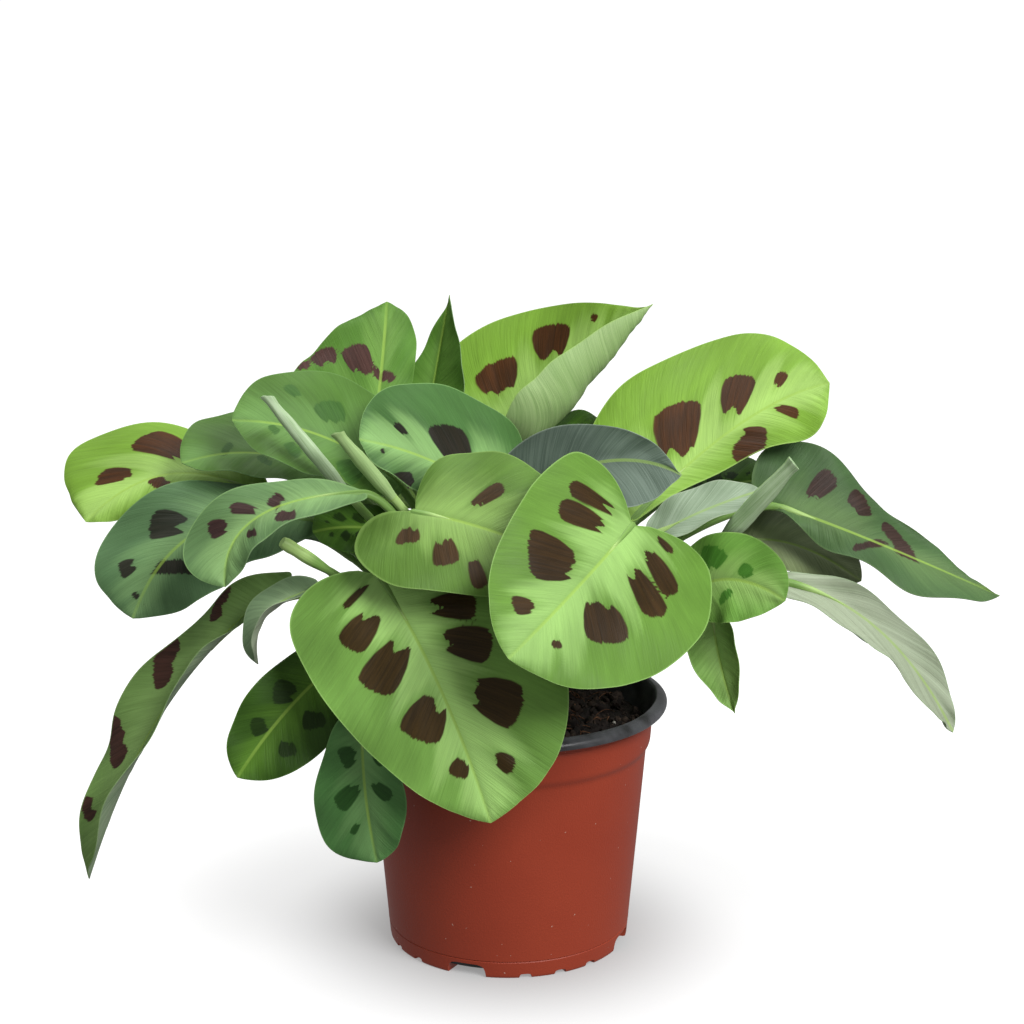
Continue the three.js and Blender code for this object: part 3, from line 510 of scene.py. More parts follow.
def spot_place(leaf, spot, length):
    """A spot's middle across the leaf, its number among the side veins, and half its breadth there."""
    inner, outer, place, breadth = spot
    fan = VEINS.get(leaf.name, USUAL_VEINS)[1]
    middle = (inner + outer) / 2
    centre = vein_field(leaf, middle, place, length)
    return middle, centre, 0.6 * breadth / (1 + fan * abs(middle) / length)


def spot_fields(leaf, across, along, vein, length, spots, seed):
    """How deep a point lies inside the nearest spot, in millimetres and negative outside: from its sides,
    which follow the side veins, and from its ends, square to them. The end towards the midrib is notched."""
    rng = np.random.default_rng(seed)
    lean, fan = VEINS.get(leaf.name, USUAL_VEINS)
    side_field = np.full(across.shape, -SPOT_LIMIT)
    end_field = np.full(across.shape, -SPOT_LIMIT)
    for spot in spots:
        inner, outer, place, _ = spot
        middle, centre, half_breadth = spot_place(leaf, spot, length)
        reach = 0.53 * abs(outer - inner)
        slant = math.atan(lean + (0.5 * abs(middle) + fan * centre) / length)
        outwards = (across - middle) * np.sign(outer)
        u = (outwards * math.cos(slant) + (along - place) * math.sin(slant)) / reach
        w = (vein - centre) / half_breadth
        taper = 1 + 0.18 * np.clip(u, -1, 1) - 0.22 * smooth(0.2, 1.1, np.abs(u))
        sides = half_breadth * (taper - np.abs(w))
        teeth = sum(
            np.clip(1 - np.abs(w - rng.uniform(-0.6, 0.6)) / rng.uniform(0.25, 0.45), 0, 1) * share
            for share in (0.5, 0.25)
        )
        ends = reach * (np.where(u > 0, 1 - u, 1 + u - teeth) - 0.1 * w**2 - 0.16 * w**4)
        ends = np.minimum(ends, outwards + 0.5 * abs(outer - inner) + MIDRIB_GAP)
        nearer = np.minimum(sides, ends) > np.minimum(side_field, end_field)
        side_field = np.where(nearer, sides, side_field)
        end_field = np.where(nearer, ends, end_field)
    return [np.clip(field, -SPOT_LIMIT, SPOT_LIMIT) for field in (side_field, end_field)]


def pale_field(leaf, across, width, vein, length, spots):
    """How far a point lies inside the pale middle, in millimetres. The pale middle reaches out between
    the spots along the side veins, and ends before each spot."""
    reach = PALE_REACH * width
    for spot in spots:
        inner, outer, _, _ = spot
        _, centre, half_breadth = spot_place(leaf, spot, length)
        own_side = np.sign(across) == np.sign(outer)
        near = np.exp(-(((vein - centre) / (1.15 * half_breadth)) ** 4)) * own_side
        reach = np.minimum(reach, reach + (abs(inner) + 1.0 - reach) * near)
    return np.clip(reach - np.abs(across), -PALE_LIMIT, PALE_LIMIT)


def blade_skin(leaf, seed):
    """The closed skin of a blade: its upper face, its lower face and the thin edge between, with the
    groove and keel of the midrib, the pleats between the side veins and soft buckles."""
    length = rib_length(leaf)
    widest = max(leaf.left.width, leaf.right.width)
    rows = round(length / ROW_SPACING) + 8
    columns = max(6, round(widest / COLUMN_SPACING))
    u = np.arange(-columns, columns + 1) / columns
    v = np.sign(u) * np.abs(u) ** 1.25
    s, v = np.meshgrid(np.linspace(0, 1, rows + 1), v, indexing="ij")
    middle, width, t = blade(leaf, s, v)
    normal = blade_normal(leaf, s, v)
    across = width * v
    vein = vein_field(leaf, across, length * t, length)
    out = np.abs(v)
    ends = smooth(0, 0.1, s) * (1 - smooth(0.92, 1, s))
    wander = 2.5 * lattice_noise(vein / 11 + 30, across / 30 + 30, seed + 50)
    phase = 2 * np.pi * vein / PLEAT_SPACING + wander
    pleat = PLEAT * np.cos(phase) * smooth(0.06, 0.3, out) * (1 - smooth(0.6, 0.95, out))
    buckle = BUCKLE * lattice_noise(vein / 11 + 20, across / 17 + 20, seed) * smooth(0.05, 0.4, out)
    relief = ends * (pleat + buckle)
    groove = GROOVE_DEPTH * np.exp(-((across / GROOVE_BREADTH) ** 2)) * ends
    keel = KEEL_DEPTH * np.exp(-((across / KEEL_BREADTH) ** 2)) * np.sqrt(1 - np.clip(t, 0, 1)) * ends
    half = HALF_THICKNESS - THINNING * smooth(0.7, 1, out)
    upper = middle + normal * (relief + half - groove)[..., None]
    lower = middle + normal * (relief - half - keel)[..., None]
    for end in (0, -1):
        upper[end] = upper[end, columns]
        lower[end] = lower[end, columns]
    rings = np.concatenate([upper, lower[:, ::-1]], axis=1)
    count = rings.shape[1]
    faces = ring_faces(rows + 1, count)
    material = np.where(np.arange(len(faces)) % count < count // 2 - 1, UPPER, UNDER)
    spots = SPOTS.get(leaf.name)
    if spots is None:
        spots = usual_spots(leaf, length, seed)
    sides, ends = spot_fields(leaf, across, length * t, vein, length, spots, seed)
    fields = {
        "across": across,
        "vein": vein,
        "rim": out,
        "edge": width * (1 - out),
        "spot_side": sides,
        "spot_end": ends,
        "pale": pale_field(leaf, across, width, vein, length, spots),
        "reach": t,
    }
    return Skin(rings.reshape(-1, 3), faces, material, both_faces(fields))


# ---- Stalks ----


SOIL_LEVEL = 83.0  # where the soil meets the pot
SOIL_REACH = 55.6
SOIL_DOME = 3.0  # how much higher its middle is
FOOT_DEPTH = 8.0  # how far a stalk goes down into the soil
STRAIGHT_RISE = 3.0  # and how far it comes up before it bends
THIN_STALK = 1.3  # radius
SHEATH = 0.75  # what its foot has more
JOINT = 0.32  # what it has more just below the blade
TAIL = 0.3  # the share of the midrib along which the stalk thins out
TAIL_RADIUS = 0.32


def soil_height(x, y):
    """A low dome with lumps of crossed waves, level at its rim."""
    share = np.minimum(np.hypot(x, y) / SOIL_REACH, 1)
    lumps = np.sin(0.31 * x + 1) * np.cos(0.27 * y) + 0.6 * np.sin(0.13 * x - 0.41 * y)
    return SOIL_LEVEL + SOIL_DOME * (1 - share**2) + 0.9 * lumps * (1 - share**8)


def stalk_path(root, base, arrival):
    """From the hole in the soil straight up, and by one bend to the base of the blade, where it comes
    in along the midrib."""
    ground = soil_height(*root)
    foot = np.array([*root, ground - FOOT_DEPTH])
    rise = np.array([*root, ground + STRAIGHT_RISE])
    reach = np.linalg.norm(base - rise)
    up = rise + [0, 0, 0.4 * reach]
    near = base - 0.14 * reach * arrival
    t = np.linspace(0, 1, 34)[:, None]
    bend = (1 - t) ** 3 * rise + 3 * t * (1 - t) ** 2 * up + 3 * t**2 * (1 - t) * near + t**3 * base
    straight = foot + (rise - foot) * np.linspace(0, 1, 4)[:-1, None]
    return np.concatenate([straight, bend])


def stalk_radii(path):
    """A stalk is thickest in the sheath just above the soil, and swells a little just below the blade,
    where it bends the leaf."""
    length = travelled(path)
    left = length[-1] - length
    sheath = SHEATH * (1 - smooth(14, 42, length))
    joint = JOINT * (1 - smooth(6, 10, np.abs(left - 6)))
    return THIN_STALK + sheath + joint


def leaf_stalk(leaf):
    """The stalk runs up to the blade, dips below it and thins out into the keel of the midrib."""
    t = np.linspace(0, TAIL, 12)
    below = rib_point(leaf, t) - rib_normal(leaf, t) * (0.95 - 1.4 * t)[:, None]
    path = stalk_path(leaf.root, below[0], rib_tangent(leaf, 0))
    radii = stalk_radii(path)
    tail = radii[-1] + (TAIL_RADIUS - radii[-1]) * smooth(0, 1, t / TAIL)
    path = np.concatenate([path, below[1:]])
    radii = np.concatenate([radii, tail[1:]])
    return tube(path, radii, 12, STALK, STALK_FIELDS)


# ---- Rolled young leaves and the cut stalk ----

SHEET = 0.16  # half the thickness of the rolled sheet
INSIDE_ROLL = [1.3, 1.2, 1.0, 0.5]  # radii of the stalk's end within the roll
STUB = [1.5, 1.7, 1.9, 2.1, 2.3, 2.4, 2.45, 2.4, 2.3, 2.35, 2.5, 2.4, 1.9]  # and of the cut stalk's end


def rolled_skin(spindle, seed):
    """A leaf still rolled up: one sheet wound round the line from base to tip, a little wider in the
    middle, with its upper side inside and its end cut slanting so that the roll stands open."""
    base, tip = np.array(spindle.base, float), np.array(spindle.tip, float)
    axis = unit(tip - base)
    first = unit(np.cross(axis, [0.2, 1, 0.1]))
    second = np.cross(axis, first)
    rows, columns = 60, 54
    s, v = np.meshgrid(np.linspace(0, 1, rows + 1), np.linspace(0, 1, columns + 1), indexing="ij")
    angle = 2 * np.pi * spindle.turns * v + 0.5 * s
    swell = 0.62 + 0.38 * smooth(0, 0.25, s) - 0.28 * smooth(0.55, 1, s)
    radius = spindle.radius * swell * (1 - 0.26 * v) + 0.12 * lattice_noise(s * 9, v * 3, seed)
    radius = radius + 0.35 * smooth(0.93, 1, s) * (v < 0.75)
    end = 1 - 0.07 * (1 - np.cos(angle - 1.0)) / 2
    length = np.linalg.norm(tip - base)
    spread = first * np.cos(angle)[..., None] + second * np.sin(angle)[..., None]
    middle = base + axis * (length * s * end)[..., None] + spread * radius[..., None]
    outer = middle + spread * SHEET
    inner = middle - spread * SHEET
    rings = np.concatenate([inner, outer[:, ::-1]], axis=1)
    count = rings.shape[1]
    faces = ring_faces(rows + 1, count)
    material = np.where(np.arange(len(faces)) % count < columns, UPPER, UNDER)
    near = np.arange(columns)
    far = count - 1 - near
    cap = np.stack([near, near + 1, far - 1, far], axis=1)
    faces = np.concatenate([faces, cap[:, ::-1], cap + rows * count])
    material = np.concatenate([material, np.full(2 * columns, UNDER)])
    fields = {
        "across": length * s,
        "vein": 2 * np.pi * spindle.radius * spindle.turns * v,
        "rim": np.full(s.shape, 0.3),
        "edge": np.minimum(v, 1 - v) * 30,
        "spot_side": np.full(s.shape, -SPOT_LIMIT),
        "spot_end": np.full(s.shape, -SPOT_LIMIT),
        "pale": np.full(s.shape, 2.0),
        "reach": s,
    }
    return Skin(rings.reshape(-1, 3), faces, material, both_faces(fields))


def spindle_stalk(spindle):
    """The stalk, with the straight end that stands in the roll or, on the cut stalk, swells and stops."""
    base, tip = np.array(spindle.base, float), np.array(spindle.tip, float)
    path = stalk_path(spindle.root, base, unit(tip - base))
    end_radii, end_share = (INSIDE_ROLL, 0.2) if spindle.turns else (STUB, 1)
    end = base + (tip - base) * np.linspace(0, end_share, len(end_radii) + 1)[1:, None]
    radii = np.concatenate([stalk_radii(path), end_radii])
    return tube(np.concatenate([path, end]), radii, 14, STALK, STALK_FIELDS)


# ---- Pot ----

FOOT_RADIUS = 45.6
WALL_TOP_RADIUS, WALL_TOP = 52.2, 75.5
QUARTERS = (-20, 70, 160, 250)  # angles of the foot's four large notches


def rounded(profile, times):
    """Cuts every corner of a line of (radius, height) points, again and again."""
    points = np.array(profile, float)
    for _ in range(times):
        near = 0.75 * points[:-1] + 0.25 * points[1:]
        far = 0.25 * points[:-1] + 0.75 * points[1:]
        middle = np.stack([near, far], axis=1).reshape(-1, points.shape[1])
        points = np.concatenate([points[:1], middle, points[-1:]])
    return points


def wall_radius(z):
    """The wall widens evenly from its foot up to the collar."""
    return FOOT_RADIUS + (WALL_TOP_RADIUS - FOOT_RADIUS) * z / WALL_TOP


# Each notch: the angle of its middle, half its angle, its height, and how far in it reaches.
NOTCHES = [(angle, 9.4, 5.0, 37.0) for angle in QUARTERS]
NOTCHES += [(angle + step, 2.9, 1.7, 24.0) for angle in QUARTERS for step in (28, 45, 62)]


def notch_roof(angle, radius):
    """How high the notches cut the foot at an angle from the front and a radius."""
    roof = np.zeros(np.broadcast(angle, radius).shape)
    for centre, half, height, inner in NOTCHES:
        away = np.abs((angle - centre + 180) % 360 - 180)
        arch = height * np.clip(1 - (away / half) ** 6, 0, 1) ** 0.4
        roof = np.maximum(roof, np.where((away < half) & (radius > inner), arch, 0))
    return roof


def pot_skin():
    """The pot as one closed skin turned about its axis, with the notches pushed up into its foot. The
    grey field is 1 on the grey inner layer, which shows from the rolled lip inwards."""
    under = [(0, 0), (12, 0), (23.9, 0), (24.1, 0), (30, 0), (36.9, 0), (37.1, 0), (41, 0), (44.6, 0)]
    wall = [(45.3, 0.15), (45.62, 0.7)]
    wall += [(wall_radius(z), z) for z in (1.2, 1.8, 3, 4.2, 5.0, 5.6, 6.2)]
    wall += [(wall_radius(6.5) - 0.25, 6.5), (wall_radius(6.9) + 0.05, 6.9), (wall_radius(9), 9)]
    wall += [(wall_radius(z), z) for z in np.linspace(14, 72, 16)]
    collar = rounded([(wall_radius(73.5), 73.5), (wall_radius(76), 76), (53.7, 78.3), (53.95, 81)], 2)
    band = [(54.15, 84), (54.3, 87), (54.38, 88.6), (54.2, 89.1), (54.5, 89.6), (54.7, 91)]
    lip = rounded(
        [(54.8, 91.6), (55.3, 92.4), (57.6, 92.0), (59.7, 91.9), (60.0, 93.4), (59.2, 94.9), (57.6, 95.9),
         (55.9, 96.1), (55.3, 95.0), (54.6, 92)], 3)
    inside = [(53.9, 88), (53.2, 84), (52.6, 79), (51.2, 76), (50.9, 74), (47, 20), (44.6, 3.2), (44, 3)]
    inside += [(20, 3), (0, 3)]
    profile = np.array([*under, *wall, *collar, *band, *lip, *inside])
    first_grey = len(under) + len(wall) + len(collar) + len(band) + 8  # on the lip, just inside its edge
    grey = np.where(np.arange(len(profile)) >= first_grey, 1.0, 0.0)
    turns = list(np.arange(0, 360, 1.5))
    for centre, half, _, _ in NOTCHES:
        turns += [centre + side * (half + lean) for side in (-1, 1) for lean in (-0.05, 0.05)]
        turns += [centre + half * share for share in (-0.97, -0.9, -0.8, 0, 0.8, 0.9, 0.97)]
    angle = np.unique(np.round(np.mod(turns, 360), 3))
    radius, turn = np.meshgrid(profile[:, 0], angle, indexing="ij")
    height = np.repeat(profile[:, 1:2], len(angle), axis=1)
    row = np.repeat(np.arange(len(profile))[:, None], len(angle), axis=1)
    outside = row < len(under) + len(wall)
    roof = notch_roof(turn, np.where(outside, radius + 0.4, 0))
    lifted = np.where(outside, np.maximum(height, roof), height)
    on_wall = outside & (row >= len(under)) & (lifted > height)
    radius = np.where(on_wall, wall_radius(lifted), radius)
    theta = np.radians(turn - 90)
    upper = smooth(60, 96, lifted)
    radius = radius + upper * (0.12 * np.sin(3 * theta + 1) + 0.08 * np.sin(7 * theta)) - 0.1 * upper
    lifted = lifted + smooth(90, 95, lifted) * (0.12 * np.sin(5 * theta + 2) - 0.1)
    points = np.stack([radius * np.cos(theta), radius * np.sin(theta), lifted], axis=-1)
    faces = ring_faces(*height.shape)
    fields = {"grey": np.repeat(grey[:, None], len(angle), axis=1).ravel()}
    return Skin(points.reshape(-1, 3), faces, np.zeros(len(faces), int), fields)


# ---- Soil ----

SOIL_RADIUS = 52.9  # of its top, which ends at the pot's wall
POT_FLOOR = 3.4
CRUMB_REACH = 50.0
FIBRE_REACH = 50.5


def soil_skin():
    """The soil's top is a disc of fine rings raised to its height, with crumbs as noise; below it runs
    down along the inside of the pot to its floor."""
    rings, count = 90, 240
    radius = np.linspace(0, SOIL_RADIUS, rings)
    turn = 2 * np.pi * np.arange(count) / count
    r, angle = np.meshgrid(radius, turn, indexing="ij")
    x, y = r * np.cos(angle), r * np.sin(angle)
    coarse = 1.1 * np.abs(lattice_noise(x / 3 + 30, y / 3 + 30, 11))
    fine = 0.7 * np.abs(lattice_noise(x / 1.3 + 40, y / 1.3 + 40, 12))
    z = soil_height(x, y) + (coarse + fine - 0.6) * (1 - smooth(50, SOIL_RADIUS, r))
    top = np.stack([x, y, z], axis=-1)[::-1]
    floor_radius = wall_radius(POT_FLOOR) - 1.7
    side = []
    for rim, height in ((0, POT_FLOOR), (floor_radius, POT_FLOOR), (50.5, 75.2), (52.1, 79)):
        side.append(np.stack([rim * np.cos(turn), rim * np.sin(turn), np.full(count, height)], axis=-1))
    rows = np.concatenate([side, top])
    faces = ring_faces(len(rows), count)
    return Skin(rows.reshape(-1, 3), faces, np.full(len(faces), SOIL), {"tone": np.zeros(rows.size // 3)})


def lump():
    """A rough ball of 80 faces: a solid of 20 triangles with each split in four."""
    body = bmesh.new()
    bmesh.ops.create_icosphere(body, subdivisions=2, radius=1)
    points = np.array([v.co for v in body.verts])
    faces = np.array([[v.index for v in f.verts] for f in body.faces])
    body.free()
    return points, faces


def crumb_skin(rng, count, sizes, tone, material):
    """Crumbs scattered over the soil: copies of one lump, each squashed, turned and dented its own way."""
    points, faces = lump()
    where = CRUMB_REACH * np.sqrt(rng.uniform(0, 1, count))
    turn = rng.uniform(0, 2 * np.pi, count)
    x, y = where * np.cos(turn), where * np.sin(turn)
    size = sizes[0] + (sizes[1] - sizes[0]) * rng.uniform(0, 1, count) ** 2.5
    axes = np.linalg.qr(rng.normal(size=(count, 3, 3)))[0]
    stretch = rng.uniform(0.5, 1.3, (count, 1, 3))
    dents = 1 + 0.18 * rng.normal(size=(count, len(points), 1))
    shaped = np.einsum("nij,nkj->nki", axes, points * stretch * dents) * size[:, None, None]
    centre = np.stack([x, y, soil_height(x, y) + 0.35 * size], axis=-1)
    shaped = shaped + centre[:, None]
    all_faces = (faces + len(points) * np.arange(count)[:, None, None]).reshape(-1, 3)
    tones = np.repeat(tone + 0.3 * rng.uniform(-1, 1, count), len(points))
    return Skin(shaped.reshape(-1, 3), all_faces, np.full(len(all_faces), material), {"tone": tones})


def fibre_skins(rng, count):
    """Coir fibres that lie and arch over the soil."""
    skins = []
    for _ in range(count):
        where, turn = 47 * math.sqrt(rng.uniform()), rng.uniform(0, 2 * np.pi)
        heading, bend = rng.uniform(0, 2 * np.pi), rng.normal(0, 0.9)
        length, arch = rng.uniform(5, 20), rng.uniform(0.4, 2.6)
        share = np.linspace(0, 1, 9)
        way = heading + bend * share
        x = where * np.cos(turn) + np.cumsum(np.cos(way)) * length / 9
        y = where * np.sin(turn) + np.cumsum(np.sin(way)) * length / 9
        inside = np.minimum(1, FIBRE_REACH / np.maximum(np.hypot(x, y), 1))
        x, y = x * inside, y * inside
        z = soil_height(x, y) + 0.5 + arch * np.sin(np.pi * share)
        radii = rng.uniform(0.12, 0.3) * np.interp(share, [0, 0.5, 1], [0.6, 1, 0.4])
        path = np.stack([x, y, z], axis=-1)
        skin = tube(path, radii, 5, FIBRE, {})
        skins.append(skin._replace(fields={"tone": np.full(len(skin.points), rng.uniform(0.5, 1.4))}))
    return skins


# ---- Materials ----


def linear(text):
    """A colour written as #rrggbb, as the renderer reckons with it."""
    values = [int(text[i : i + 2], 16) / 255 for i in (1, 3, 5)]
    return (*[v / 12.92 if v < 0.04045 else ((v + 0.055) / 1.055) ** 2.4 for v in values], 1)


class Value:
    """An output of a node that can be reckoned with: each sign adds a Math node."""

    def __init__(self, wiring, socket):
        self.wiring = wiring
        self.socket = socket

    def math(self, operation, *others):
        inputs = dict(enumerate((self, *others)))
        return self.wiring.node("ShaderNodeMath", {"operation": operation}, inputs)

    def __add__(self, other):
        return self.math("ADD", other)

    def __sub__(self, other):
        return self.math("SUBTRACT", other)

    def __mul__(self, other):
        return self.math("MULTIPLY", other)

    def __rsub__(self, other):
        return (self * -1) + other

    __radd__ = __add__
    __rmul__ = __mul__

    def size(self):
        return self.math("ABSOLUTE")

    def least(self, other):
        return self.math("MINIMUM", other)

    def step(self, low, high):
        """0 below low, 1 above high, soft between."""
        settings = {"interpolation_type": "SMOOTHSTEP"}
        return self.wiring.node("ShaderNodeMapRange", settings, {0: self, 1: low, 2: high, 3: 0.0, 4: 1.0})


class Wiring:
    """The nodes of one material."""

    def __init__(self, name):
        self.material = bpy.data.materials.new(name)
        self.material.use_nodes = True
        self.tree = self.material.node_tree
        self.tree.nodes.clear()

    def node(self, kind, settings, inputs, output=0):
        """Any node: its type, its settings, then what goes into it."""
        made = self.tree.nodes.new(kind)
        for key, value in settings.items():
            setattr(made, key, value)
        for key, value in inputs.items():
            if isinstance(value, Value):
                self.tree.links.new(value.socket, made.inputs[key])
            else:
                made.inputs[key].default_value = value
        return Value(self, made.outputs[output]) if len(made.outputs) else None

    def field(self, name):
        """A number that the mesh gives each of its points."""
        settings = {"attribute_type": "GEOMETRY", "attribute_name": name}
        return self.node("ShaderNodeAttribute", settings, {}, output="Fac")

    def place(self, x, y, z=0.0):
        return self.node("ShaderNodeCombineXYZ", {}, {0: x, 1: y, 2: z})

    def own_place(self):
        """The place on the piece itself, in metres."""
        return self.node("ShaderNodeTexCoord", {}, {}, output="Object")

    def noise(self, place, scale=1.0, detail=2.0, rough=0.5):
        inputs = {"Vector": place, "Scale": scale, "Detail": detail, "Roughness": rough}
        return self.node("ShaderNodeTexNoise", {}, inputs)

    def mix(self, share, a, b):
        """Colour a at share 0 and colour b at share 1."""
        a = linear(a) if isinstance(a, str) else a
        b = linear(b) if isinstance(b, str) else b
        return self.node("ShaderNodeMix", {"data_type": "RGBA"}, {0: share, 6: a, 7: b}, output=2)

    def shade(self, colour, factor):
        """A colour made brighter or darker."""
        return self.node("ShaderNodeVectorMath", {"operation": "SCALE"}, {0: colour, 3: factor})

    def veined(self, along, across, layer, detail, rough=0.5):
        """Noise that lies along the side veins: how fast it changes along and across them, per millimetre
        of the fields, and a layer of its own."""
        place = self.place(self.field("vein") * along, self.field("across") * across, layer)
        return self.noise(place, detail=detail, rough=rough)

    def finish(self, colour, rough, shine, height=None, distance=0.0, glow_with_painted_shadow=None):
        """The material. The height, over a distance in metres, gives it fine relief."""
        inputs = {"Base Color": colour, "Roughness": rough, "Specular IOR Level": shine}
        if height is not None:
            bump = {"Height": height, "Distance": distance, "Strength": 1.0}
            inputs["Normal"] = self.node("ShaderNodeBump", {}, bump)
        if glow_with_painted_shadow is not None:
            inputs.update({"Emission Color": glow_with_painted_shadow, "Emission Strength": 1.0})
        surface = self.node("ShaderNodeBsdfPrincipled", {}, inputs)
        self.node("ShaderNodeOutputMaterial", {}, {"Surface": surface})
        return self.material


def upper_material(name, look):
    """The upper face of a leaf: deep green towards the edge, a pale feathered middle that runs out
    between the side veins, a thin midrib, and dark spots whose ends are fringed along the veins."""
    w = Wiring(name)
    cloud = w.veined(0.045, 0.045, layer=9.0, detail=2.0)
    streak = w.veined(0.75, 0.05, layer=5.0, detail=4.0, rough=0.6)
    fine = w.veined(2.6, 0.1, layer=7.0, detail=3.0)
    feather = w.field("pale") + (streak - 0.5) * 8.0 + (cloud - 0.5) * 6.0
    pale = feather.step(-6.5, 5.5) * (0.62 + w.field("rim").step(0.55, 0.0) * 0.38)
    colour = w.mix(pale, look.outer, look.pale)
    tone = 1.0 + (cloud - 0.5) * 0.75 + (streak - 0.5) * 0.36 + (fine - 0.5) * 0.34
    colour = w.shade(colour, tone)
    fringe = (streak - 0.5) * 3.0 + (fine - 0.5) * 2.2
    inside = w.field("spot_end") + fringe
    soft = w.field("spot_side").least(inside).step(-0.4, 0.4)
    spot = w.mix((cloud * 0.5 + streak * 0.6 + fine * 0.4).step(0.55, 0.95), look.spot, look.spot_glow)
    colour = w.mix(soft, colour, spot)
    rib = (1 - w.field("across").size().step(0.3, 0.8)) * (1 - w.field("reach").step(0.7, 1.0) * 0.6)
    colour = w.mix(rib * 0.6, colour, look.rib)
    margin = 1 - w.field("edge").step(0.15, 0.6)
    colour = w.mix(margin * 0.65, colour, look.pale)
    rough = 0.52 + (cloud - 0.5) * 0.3
    return w.finish(colour, rough, shine=0.16, height=streak * 0.5 + fine * 0.35, distance=0.0004)


def under_material(name, look):
    """The lower face: dull and silvery, with close parallel lines along the side veins."""
    w = Wiring(name)
    broad = w.veined(0.1, 0.03, layer=2.0, detail=2.0)
    streak = w.veined(1.1, 0.035, layer=4.0, detail=4.0, rough=0.65)
    fine = w.veined(2.4, 0.06, layer=6.0, detail=3.0)
    share = ((streak - 0.5) * 1.3 + (fine - 0.5) * 0.9 + broad * 1.2 - 0.1).step(0.05, 0.95)
    colour = w.mix(share, look.under_streak, look.under)
    rib = 1 - w.field("across").size().step(0.4, 0.9)
    colour = w.mix(rib * 0.5, colour, look.rib)
    margin = 1 - w.field("edge").step(0.15, 0.5)
    colour = w.mix(margin * 0.5, colour, look.pale)
    return w.finish(colour, rough=0.6, shine=0.25, height=streak + fine * 0.5, distance=0.00018)


def stalk_material():
    """A stalk is fresh green, a darker olive-brown over its lowest part near the soil, partly its sheath's
    own colour and partly painted shade low in the clump, and it has fine lines along it.
    """
    w = Wiring("stalk")
    along = w.field("vein")
    lines = w.noise(w.place(w.field("across") * 3.0, along * 0.05), detail=2.0)
    # Darker olive-brown near the soil: partly the sheath's own colour, partly painted shade.
    colour = w.mix(along.step(12.0, 60.0), "#5a5a34", "#6f9348")
    colour = w.mix(w.field("rim").step(0.86, 0.92), colour, "#9cba6e")
    colour = w.shade(colour, 0.7 + lines * 0.6)
    return w.finish(colour, rough=0.5, shine=0.35, height=lines, distance=0.0002)


def pot_material():
    """Terracotta-coloured plastic with a dull sheen and specks of dust; inside it is grey."""
    w = Wiring("pot plastic")
    place = w.own_place()
    cloud = w.noise(place, scale=28.0, detail=3.0)
    grain = w.noise(place, scale=1500.0, detail=2.0)
    dust = w.noise(place, scale=620.0, detail=1.0).step(0.79, 0.81)
    colour = w.shade(w.mix(cloud, "#8a311d", "#993c24"), 0.93 + grain * 0.14)
    colour = w.mix(dust * 0.7, colour, "#c9a090")
    dirt = w.noise(place, scale=90.0, detail=4.0)
    inside = w.mix(dirt.step(0.35, 0.65), "#2a2a2b", "#4a4b4e")
    grey = w.field("grey").step(0.4, 0.6)
    colour = w.mix(grey, colour, inside)
    rough = 0.45 + cloud * 0.1 - grey * 0.2
    return w.finish(colour, rough, shine=0.3, height=grain + dust, distance=0.00008)


def soil_material(name, dark, light):
    """Matte and grainy; crumbs with a higher tone are lighter."""
    w = Wiring(name)
    place = w.own_place()
    grain = w.noise(place, scale=420.0, detail=4.0)
    share = ((grain - 0.5) * 1.6 + w.field("tone") * 0.6).step(0.0, 1.0)
    colour = w.mix(share, dark, light)
    return w.finish(colour, rough=0.85, shine=0.25, height=grain, distance=0.0006)


def floor_material():
    """A matte floor with a light of its own, which grows away from the pot, so that the floor is white up to
    a painted soft shadow round the pot's foot, where the glow is weaker."""
    w = Wiring("floor")
    place = w.own_place()
    away = w.node("ShaderNodeVectorMath", {"operation": "LENGTH"}, {0: place}, output="Value")
    # The glow is weaker near the pot: a painted shadow round its foot, added to the lamps' own shadow.
    glow_with_painted_shadow = w.shade((1.0, 1.0, 1.0), away.step(0.02, 0.1) * 0.56 + away.step(0.08, 0.2) * 0.2 + 0.2)
    return w.finish(linear("#8c8c8c"), rough=0.9, shine=0.0, glow_with_painted_shadow=glow_with_painted_shadow)


# ---- The plant ----

uppers = {key: upper_material("upper " + key, look) for key, look in LOOKS.items()}
unders = {key: under_material("under " + key, look) for key, look in LOOKS.items()}
stalk_green = stalk_material()
for seed, leaf in enumerate(LEAVES, 100):
    dressed = [uppers[leaf.look], unders[leaf.look], stalk_green]
    make_piece(leaf.name, [blade_skin(leaf, seed), leaf_stalk(leaf)], dressed)

for seed, spindle in enumerate(SPINDLES, 40):
    skins = [rolled_skin(spindle, seed)] if spindle.turns else []
    skins.append(spindle_stalk(spindle))
    dressed = [uppers["lime"], unders[spindle.look], stalk_green]
    make_piece(spindle.name, skins, dressed)

make_piece("pot", [pot_skin()], [pot_material()], crease=35)

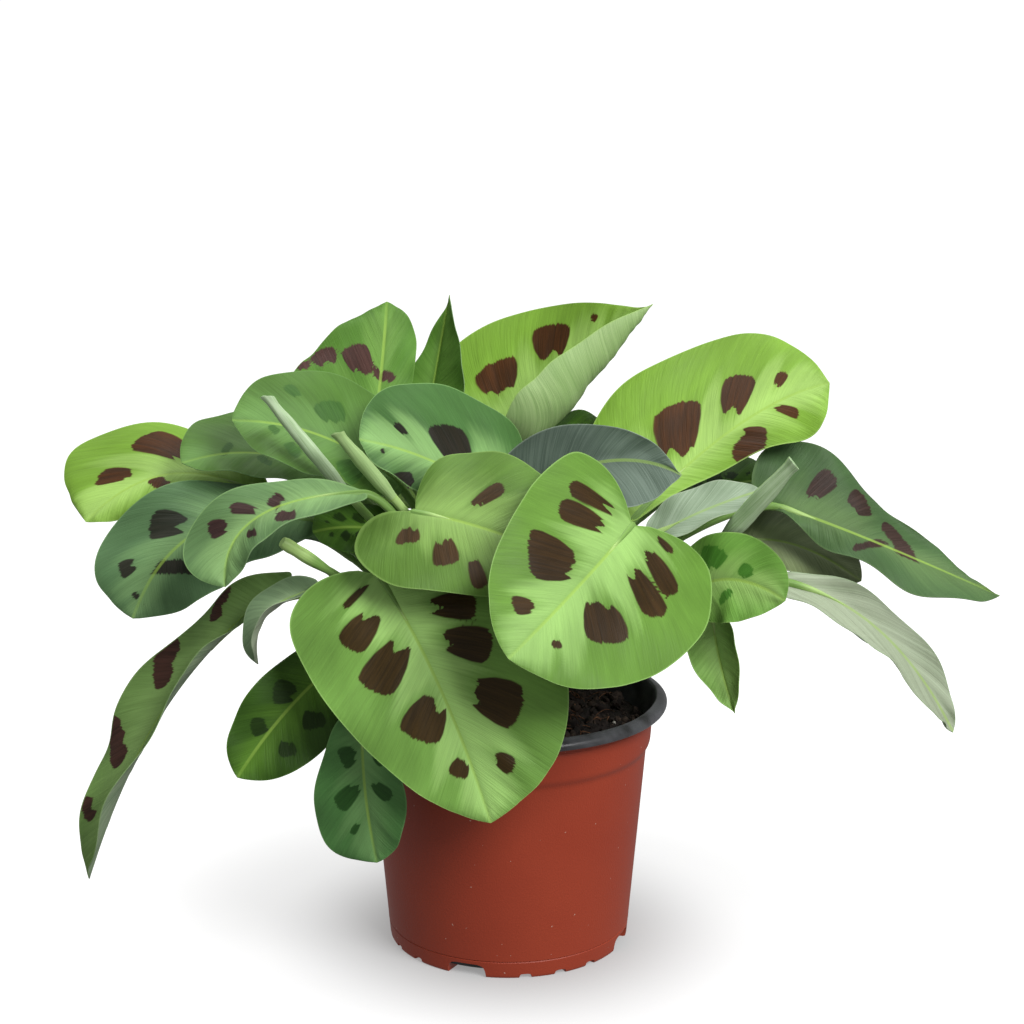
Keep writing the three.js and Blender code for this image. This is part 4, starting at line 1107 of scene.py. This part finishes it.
rng = np.random.default_rng(7)
soil_looks = [soil_material("soil", "#1a1411", "#43362c"), soil_material("fibre", "#2a1a10", "#6b4a33"),
              soil_material("perlite", "#8a857c", "#c9c5bb")]
soil = [soil_skin(), crumb_skin(rng, 900, sizes=(0.5, 2.6), tone=0.5, material=SOIL)]
soil += [crumb_skin(rng, 26, sizes=(0.5, 1.3), tone=0.6, material=PERLITE), *fibre_skins(rng, 150)]
make_piece("soil", soil, soil_looks, crease=60)

# ---- The studio ----

bpy.ops.mesh.primitive_plane_add(size=100, location=(0, 0, 0))
floor = bpy.context.object
floor.name = "floor"
floor.data.materials.append(floor_material())
floor.visible_diffuse = False  # its glow lights no leaf from below
floor.visible_glossy = False


AIM = (0, 0, 0.12)  # the middle of the plant


def soft_light(name, place, size, power):
    """A square lamp at a place, looking at the plant."""
    data = bpy.data.lights.new(name, "AREA")
    data.size = size
    data.energy = power
    lamp = bpy.data.objects.new(name, data)
    bpy.context.scene.collection.objects.link(lamp)
    lamp.location = place
    direction = np.array(AIM) - np.array(place)
    lamp.rotation_euler = (
        math.atan2(math.hypot(direction[0], direction[1]), -direction[2]),
        0,
        math.atan2(direction[0], -direction[1]) + math.pi,
    )


soft_light("main light", place=(0.75, -1.0, 1.15), size=0.75, power=29)
soft_light("top light", place=(-0.1, 0.25, 1.3), size=0.8, power=9)

world = bpy.data.worlds.new("studio")
bpy.context.scene.world = world
world.use_nodes = True
backdrop = world.node_tree.nodes["Background"]
backdrop.inputs["Color"].default_value = (1, 1, 1, 1)
# The backdrop is seen as white, and lights the plant only softly.
seen = world.node_tree.nodes.new("ShaderNodeLightPath")
strength = world.node_tree.nodes.new("ShaderNodeMapRange")
strength.inputs["To Min"].default_value = 0.34
strength.inputs["To Max"].default_value = 1.0
world.node_tree.links.new(seen.outputs["Is Camera Ray"], strength.inputs["Value"])
world.node_tree.links.new(strength.outputs["Result"], backdrop.inputs["Strength"])

# The camera is fitted to the photo by the ellipses of the pot's lip and foot.
camera = bpy.data.objects.new("camera", bpy.data.cameras.new("camera"))
bpy.context.scene.collection.objects.link(camera)
camera.location = (0.0013, -0.8029, 0.3595)
camera.rotation_euler = (math.radians(76.43), 0, 0)
camera.data.lens = 78.36
camera.data.sensor_width = 36
camera.data.clip_end = 200
bpy.context.scene.camera = camera
bpy.context.scene.view_settings.view_transform = "Standard"
